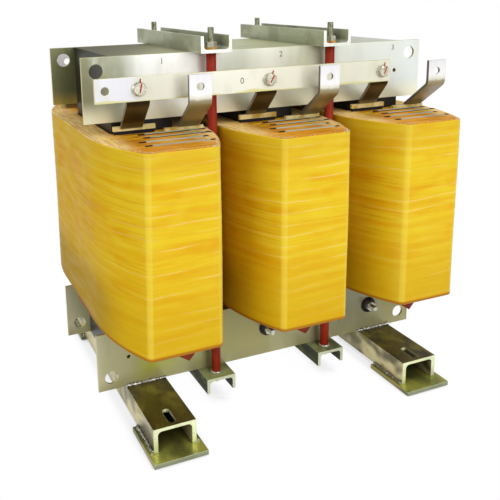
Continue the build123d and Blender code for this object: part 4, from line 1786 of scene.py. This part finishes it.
# Each zinc palette: top, side, end, deep and gold of a ZincFinish; top, side and end are painted light and
# reflection for each facing.
PALE_ZINC = (
    (0.80, 0.82, 0.66),
    (0.52, 0.55, 0.38),
    (0.90, 0.92, 0.86),
    (0.36, 0.38, 0.24),
    (0.60, 0.62, 0.38),
)
DARK_ZINC = (
    (0.40, 0.46, 0.20),
    (0.035, 0.040, 0.018),
    (0.62, 0.66, 0.48),
    (0.10, 0.11, 0.05),
    (0.30, 0.34, 0.10),
)
FOOT_ZINC = (
    (0.125, 0.095, 0.010),
    (0.70, 0.62, 0.32),
    (0.86, 0.92, 0.56),
    (0.040, 0.030, 0.006),
    (0.26, 0.22, 0.030),
)
PAD_ZINC = (
    (0.44, 0.44, 0.085),
    (0.42, 0.36, 0.08),
    (0.34, 0.38, 0.22),
    (0.16, 0.17, 0.04),
    (0.56, 0.52, 0.07),
)

FINISHES = (
    PlateFinish("upper_plate", UPPER_PLATE_TINTS, 566.0, 606.0, (0.90, 0.88, 0.62), (0.74, 0.76, 0.66)),
    PlateFinish("upper_plate_rear", REAR_PLATE_TINTS, 560.0, 600.0, (0.60, 0.42, 0.07), (0.18, 0.19, 0.08)),
    PlateFinish("lower_plate", LOWER_PLATE_TINTS, 53.0, 85.0, (0.34, 0.31, 0.15), (0.42, 0.42, 0.22)),
    PlateFinish(
        "neutral_bar",
        NEUTRAL_BAR_TINTS,
        low=614.0,
        high=618.0,
        shade=(0.62, 0.56, 0.16),
        patch=(0.62, 0.61, 0.46),
        edge=(0.62, 0.56, 0.14),
    ),
    ZincFinish("upper_cross_channel", *PALE_ZINC),
    ZincFinish("lower_cross_channel", *DARK_ZINC, metallic=0.1, roughness=0.5, glare=0.1),
    ZincFinish("foot_channel", *FOOT_ZINC),
    ZincFinish("foot_pad", *PAD_ZINC),
    CoreFinish("core_steel"),
    TapeFinish("winding_tape"),
    LeadFinish("terminal_bar", PHASE_LEAD_TINTS),
    LeadFinish("neutral_lead", NEUTRAL_LEAD_TINTS),
    PlainFinish("duct_spacer", (0.50, 0.50, 0.38), (0.36, 0.37, 0.26), 0.6, 9.0, (8.0, 1.0, 1.0)),
    PlainFinish("duct_painted_shade", (0.006, 0.008, 0.014), (0.02, 0.012, 0.006), 0.7, 8.0),
    PlainFinish("lead_block", (0.72, 0.60, 0.28), (0.44, 0.28, 0.035), 0.5, 26.0),
    PlainFinish("red_sleeve", (0.30, 0.02, 0.004), (0.19, 0.014, 0.003), 0.5, 26.0, (1, 1, 3), bevel=0.0),
    PlainFinish("red_laminate", (0.22, 0.030, 0.005), (0.13, 0.018, 0.004), 0.5, 18.0),
    PlainFinish("amber_washer", (0.72, 0.36, 0.05), (0.50, 0.20, 0.02), 0.4, 6.0),
    PlainFinish("black_washer", (0.022, 0.022, 0.026), (0.010, 0.010, 0.012), 0.45, 6.0),
    PlainFinish("fastener", (0.66, 0.65, 0.54), (0.44, 0.43, 0.30), 0.28, 8.0, metallic=0.7, bevel=0.4),
    PlainFinish("threaded_rod", (0.40, 0.40, 0.28), (0.20, 0.20, 0.12), 0.36, 6.0, metallic=0.6, bevel=0.0),
    PlainFinish("weld", (0.60, 0.60, 0.54), (0.14, 0.13, 0.09), 0.3, 4.0, metallic=0.6, bevel=0.0),
    PlainFinish("fibres", (0.84, 0.60, 0.26), (0.86, 0.76, 0.54), 0.6, 9.0, bevel=0.0),
    PlainFinish("check_paint", (0.42, 0.006, 0.008), (0.32, 0.006, 0.008), 0.5, 4.0, bevel=0.0),
    PlainFinish("ink", (0.10, 0.10, 0.09), (0.16, 0.16, 0.14), 0.6, 4.0, bevel=0.0),
)

# The first beginning that fits a node's name gives the node's finish.
RULES = (
    ("core_", "core_steel"),
    ("clamp_upper_rear", "upper_plate_rear"),
    ("clamp_upper", "upper_plate"),
    ("clamp_lower", "lower_plate"),
    ("channel_upper", "upper_cross_channel"),
    ("channel_lower", "lower_cross_channel"),
    ("foot_", "foot_channel"),
    ("pad_", "foot_pad"),
    ("winding_", "winding_tape"),
    ("duct_spacers", "duct_spacer"),
    ("phase_lead", "terminal_bar"),
    ("primary_leads", "terminal_bar"),
    ("neutral_lead", "neutral_lead"),
    ("neutral_bar", "neutral_bar"),
    ("lead_blocks", "lead_block"),
    ("coil_supports", "red_laminate"),
    ("weld_beads", "weld"),
    ("tie_rod", "threaded_rod"),
    ("rod_sleeve", "red_sleeve"),
    ("rod_washers", "amber_washer"),
    ("yoke_washers", "black_washer"),
    ("", "fastener"),
)


@dataclass
class Transformer:
    """The complete part: finishes for every solid and the pieces added to them.

    Attributes:
        solids: Every solid of the frame by its name.
        coils: The three coils; their fronts differ a little, as hand-wound coils do.
    """

    solids: dict[str, bpy.types.Object]
    coils: tuple[Coil, ...] = (
        Coil(Side.LEFT, 67.0, 65.0, 5.0, 8.0),
        Coil(Side.MIDDLE, 61.5, 70.0),
        Coil(Side.RIGHT, 54.0, 65.0),
    )

    def build(self) -> None:
        """Dress the solids and build the added pieces."""
        made = {finish.name: finish.build() for finish in FINISHES}
        for node, solid in self.solids.items():
            name = next(finish for start, finish in RULES if node.startswith(start))
            solid.data.materials.clear()
            solid.data.materials.append(made[name])
        for group in (*self.coils, TieRods(), YokeBolts(), NeutralJoints(), *LEADS, Welds(), *MARKS):
            group.build(made)
        LOG.info("transformer dressed")


def main() -> None:
    """Build the scene."""
    logging.basicConfig(level=logging.INFO)
    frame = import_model()
    Transformer(frame["nodes"]).build()
    Studio().build()
    bpy.context.view_layer.update()


if __name__ == "__main__":
    main()
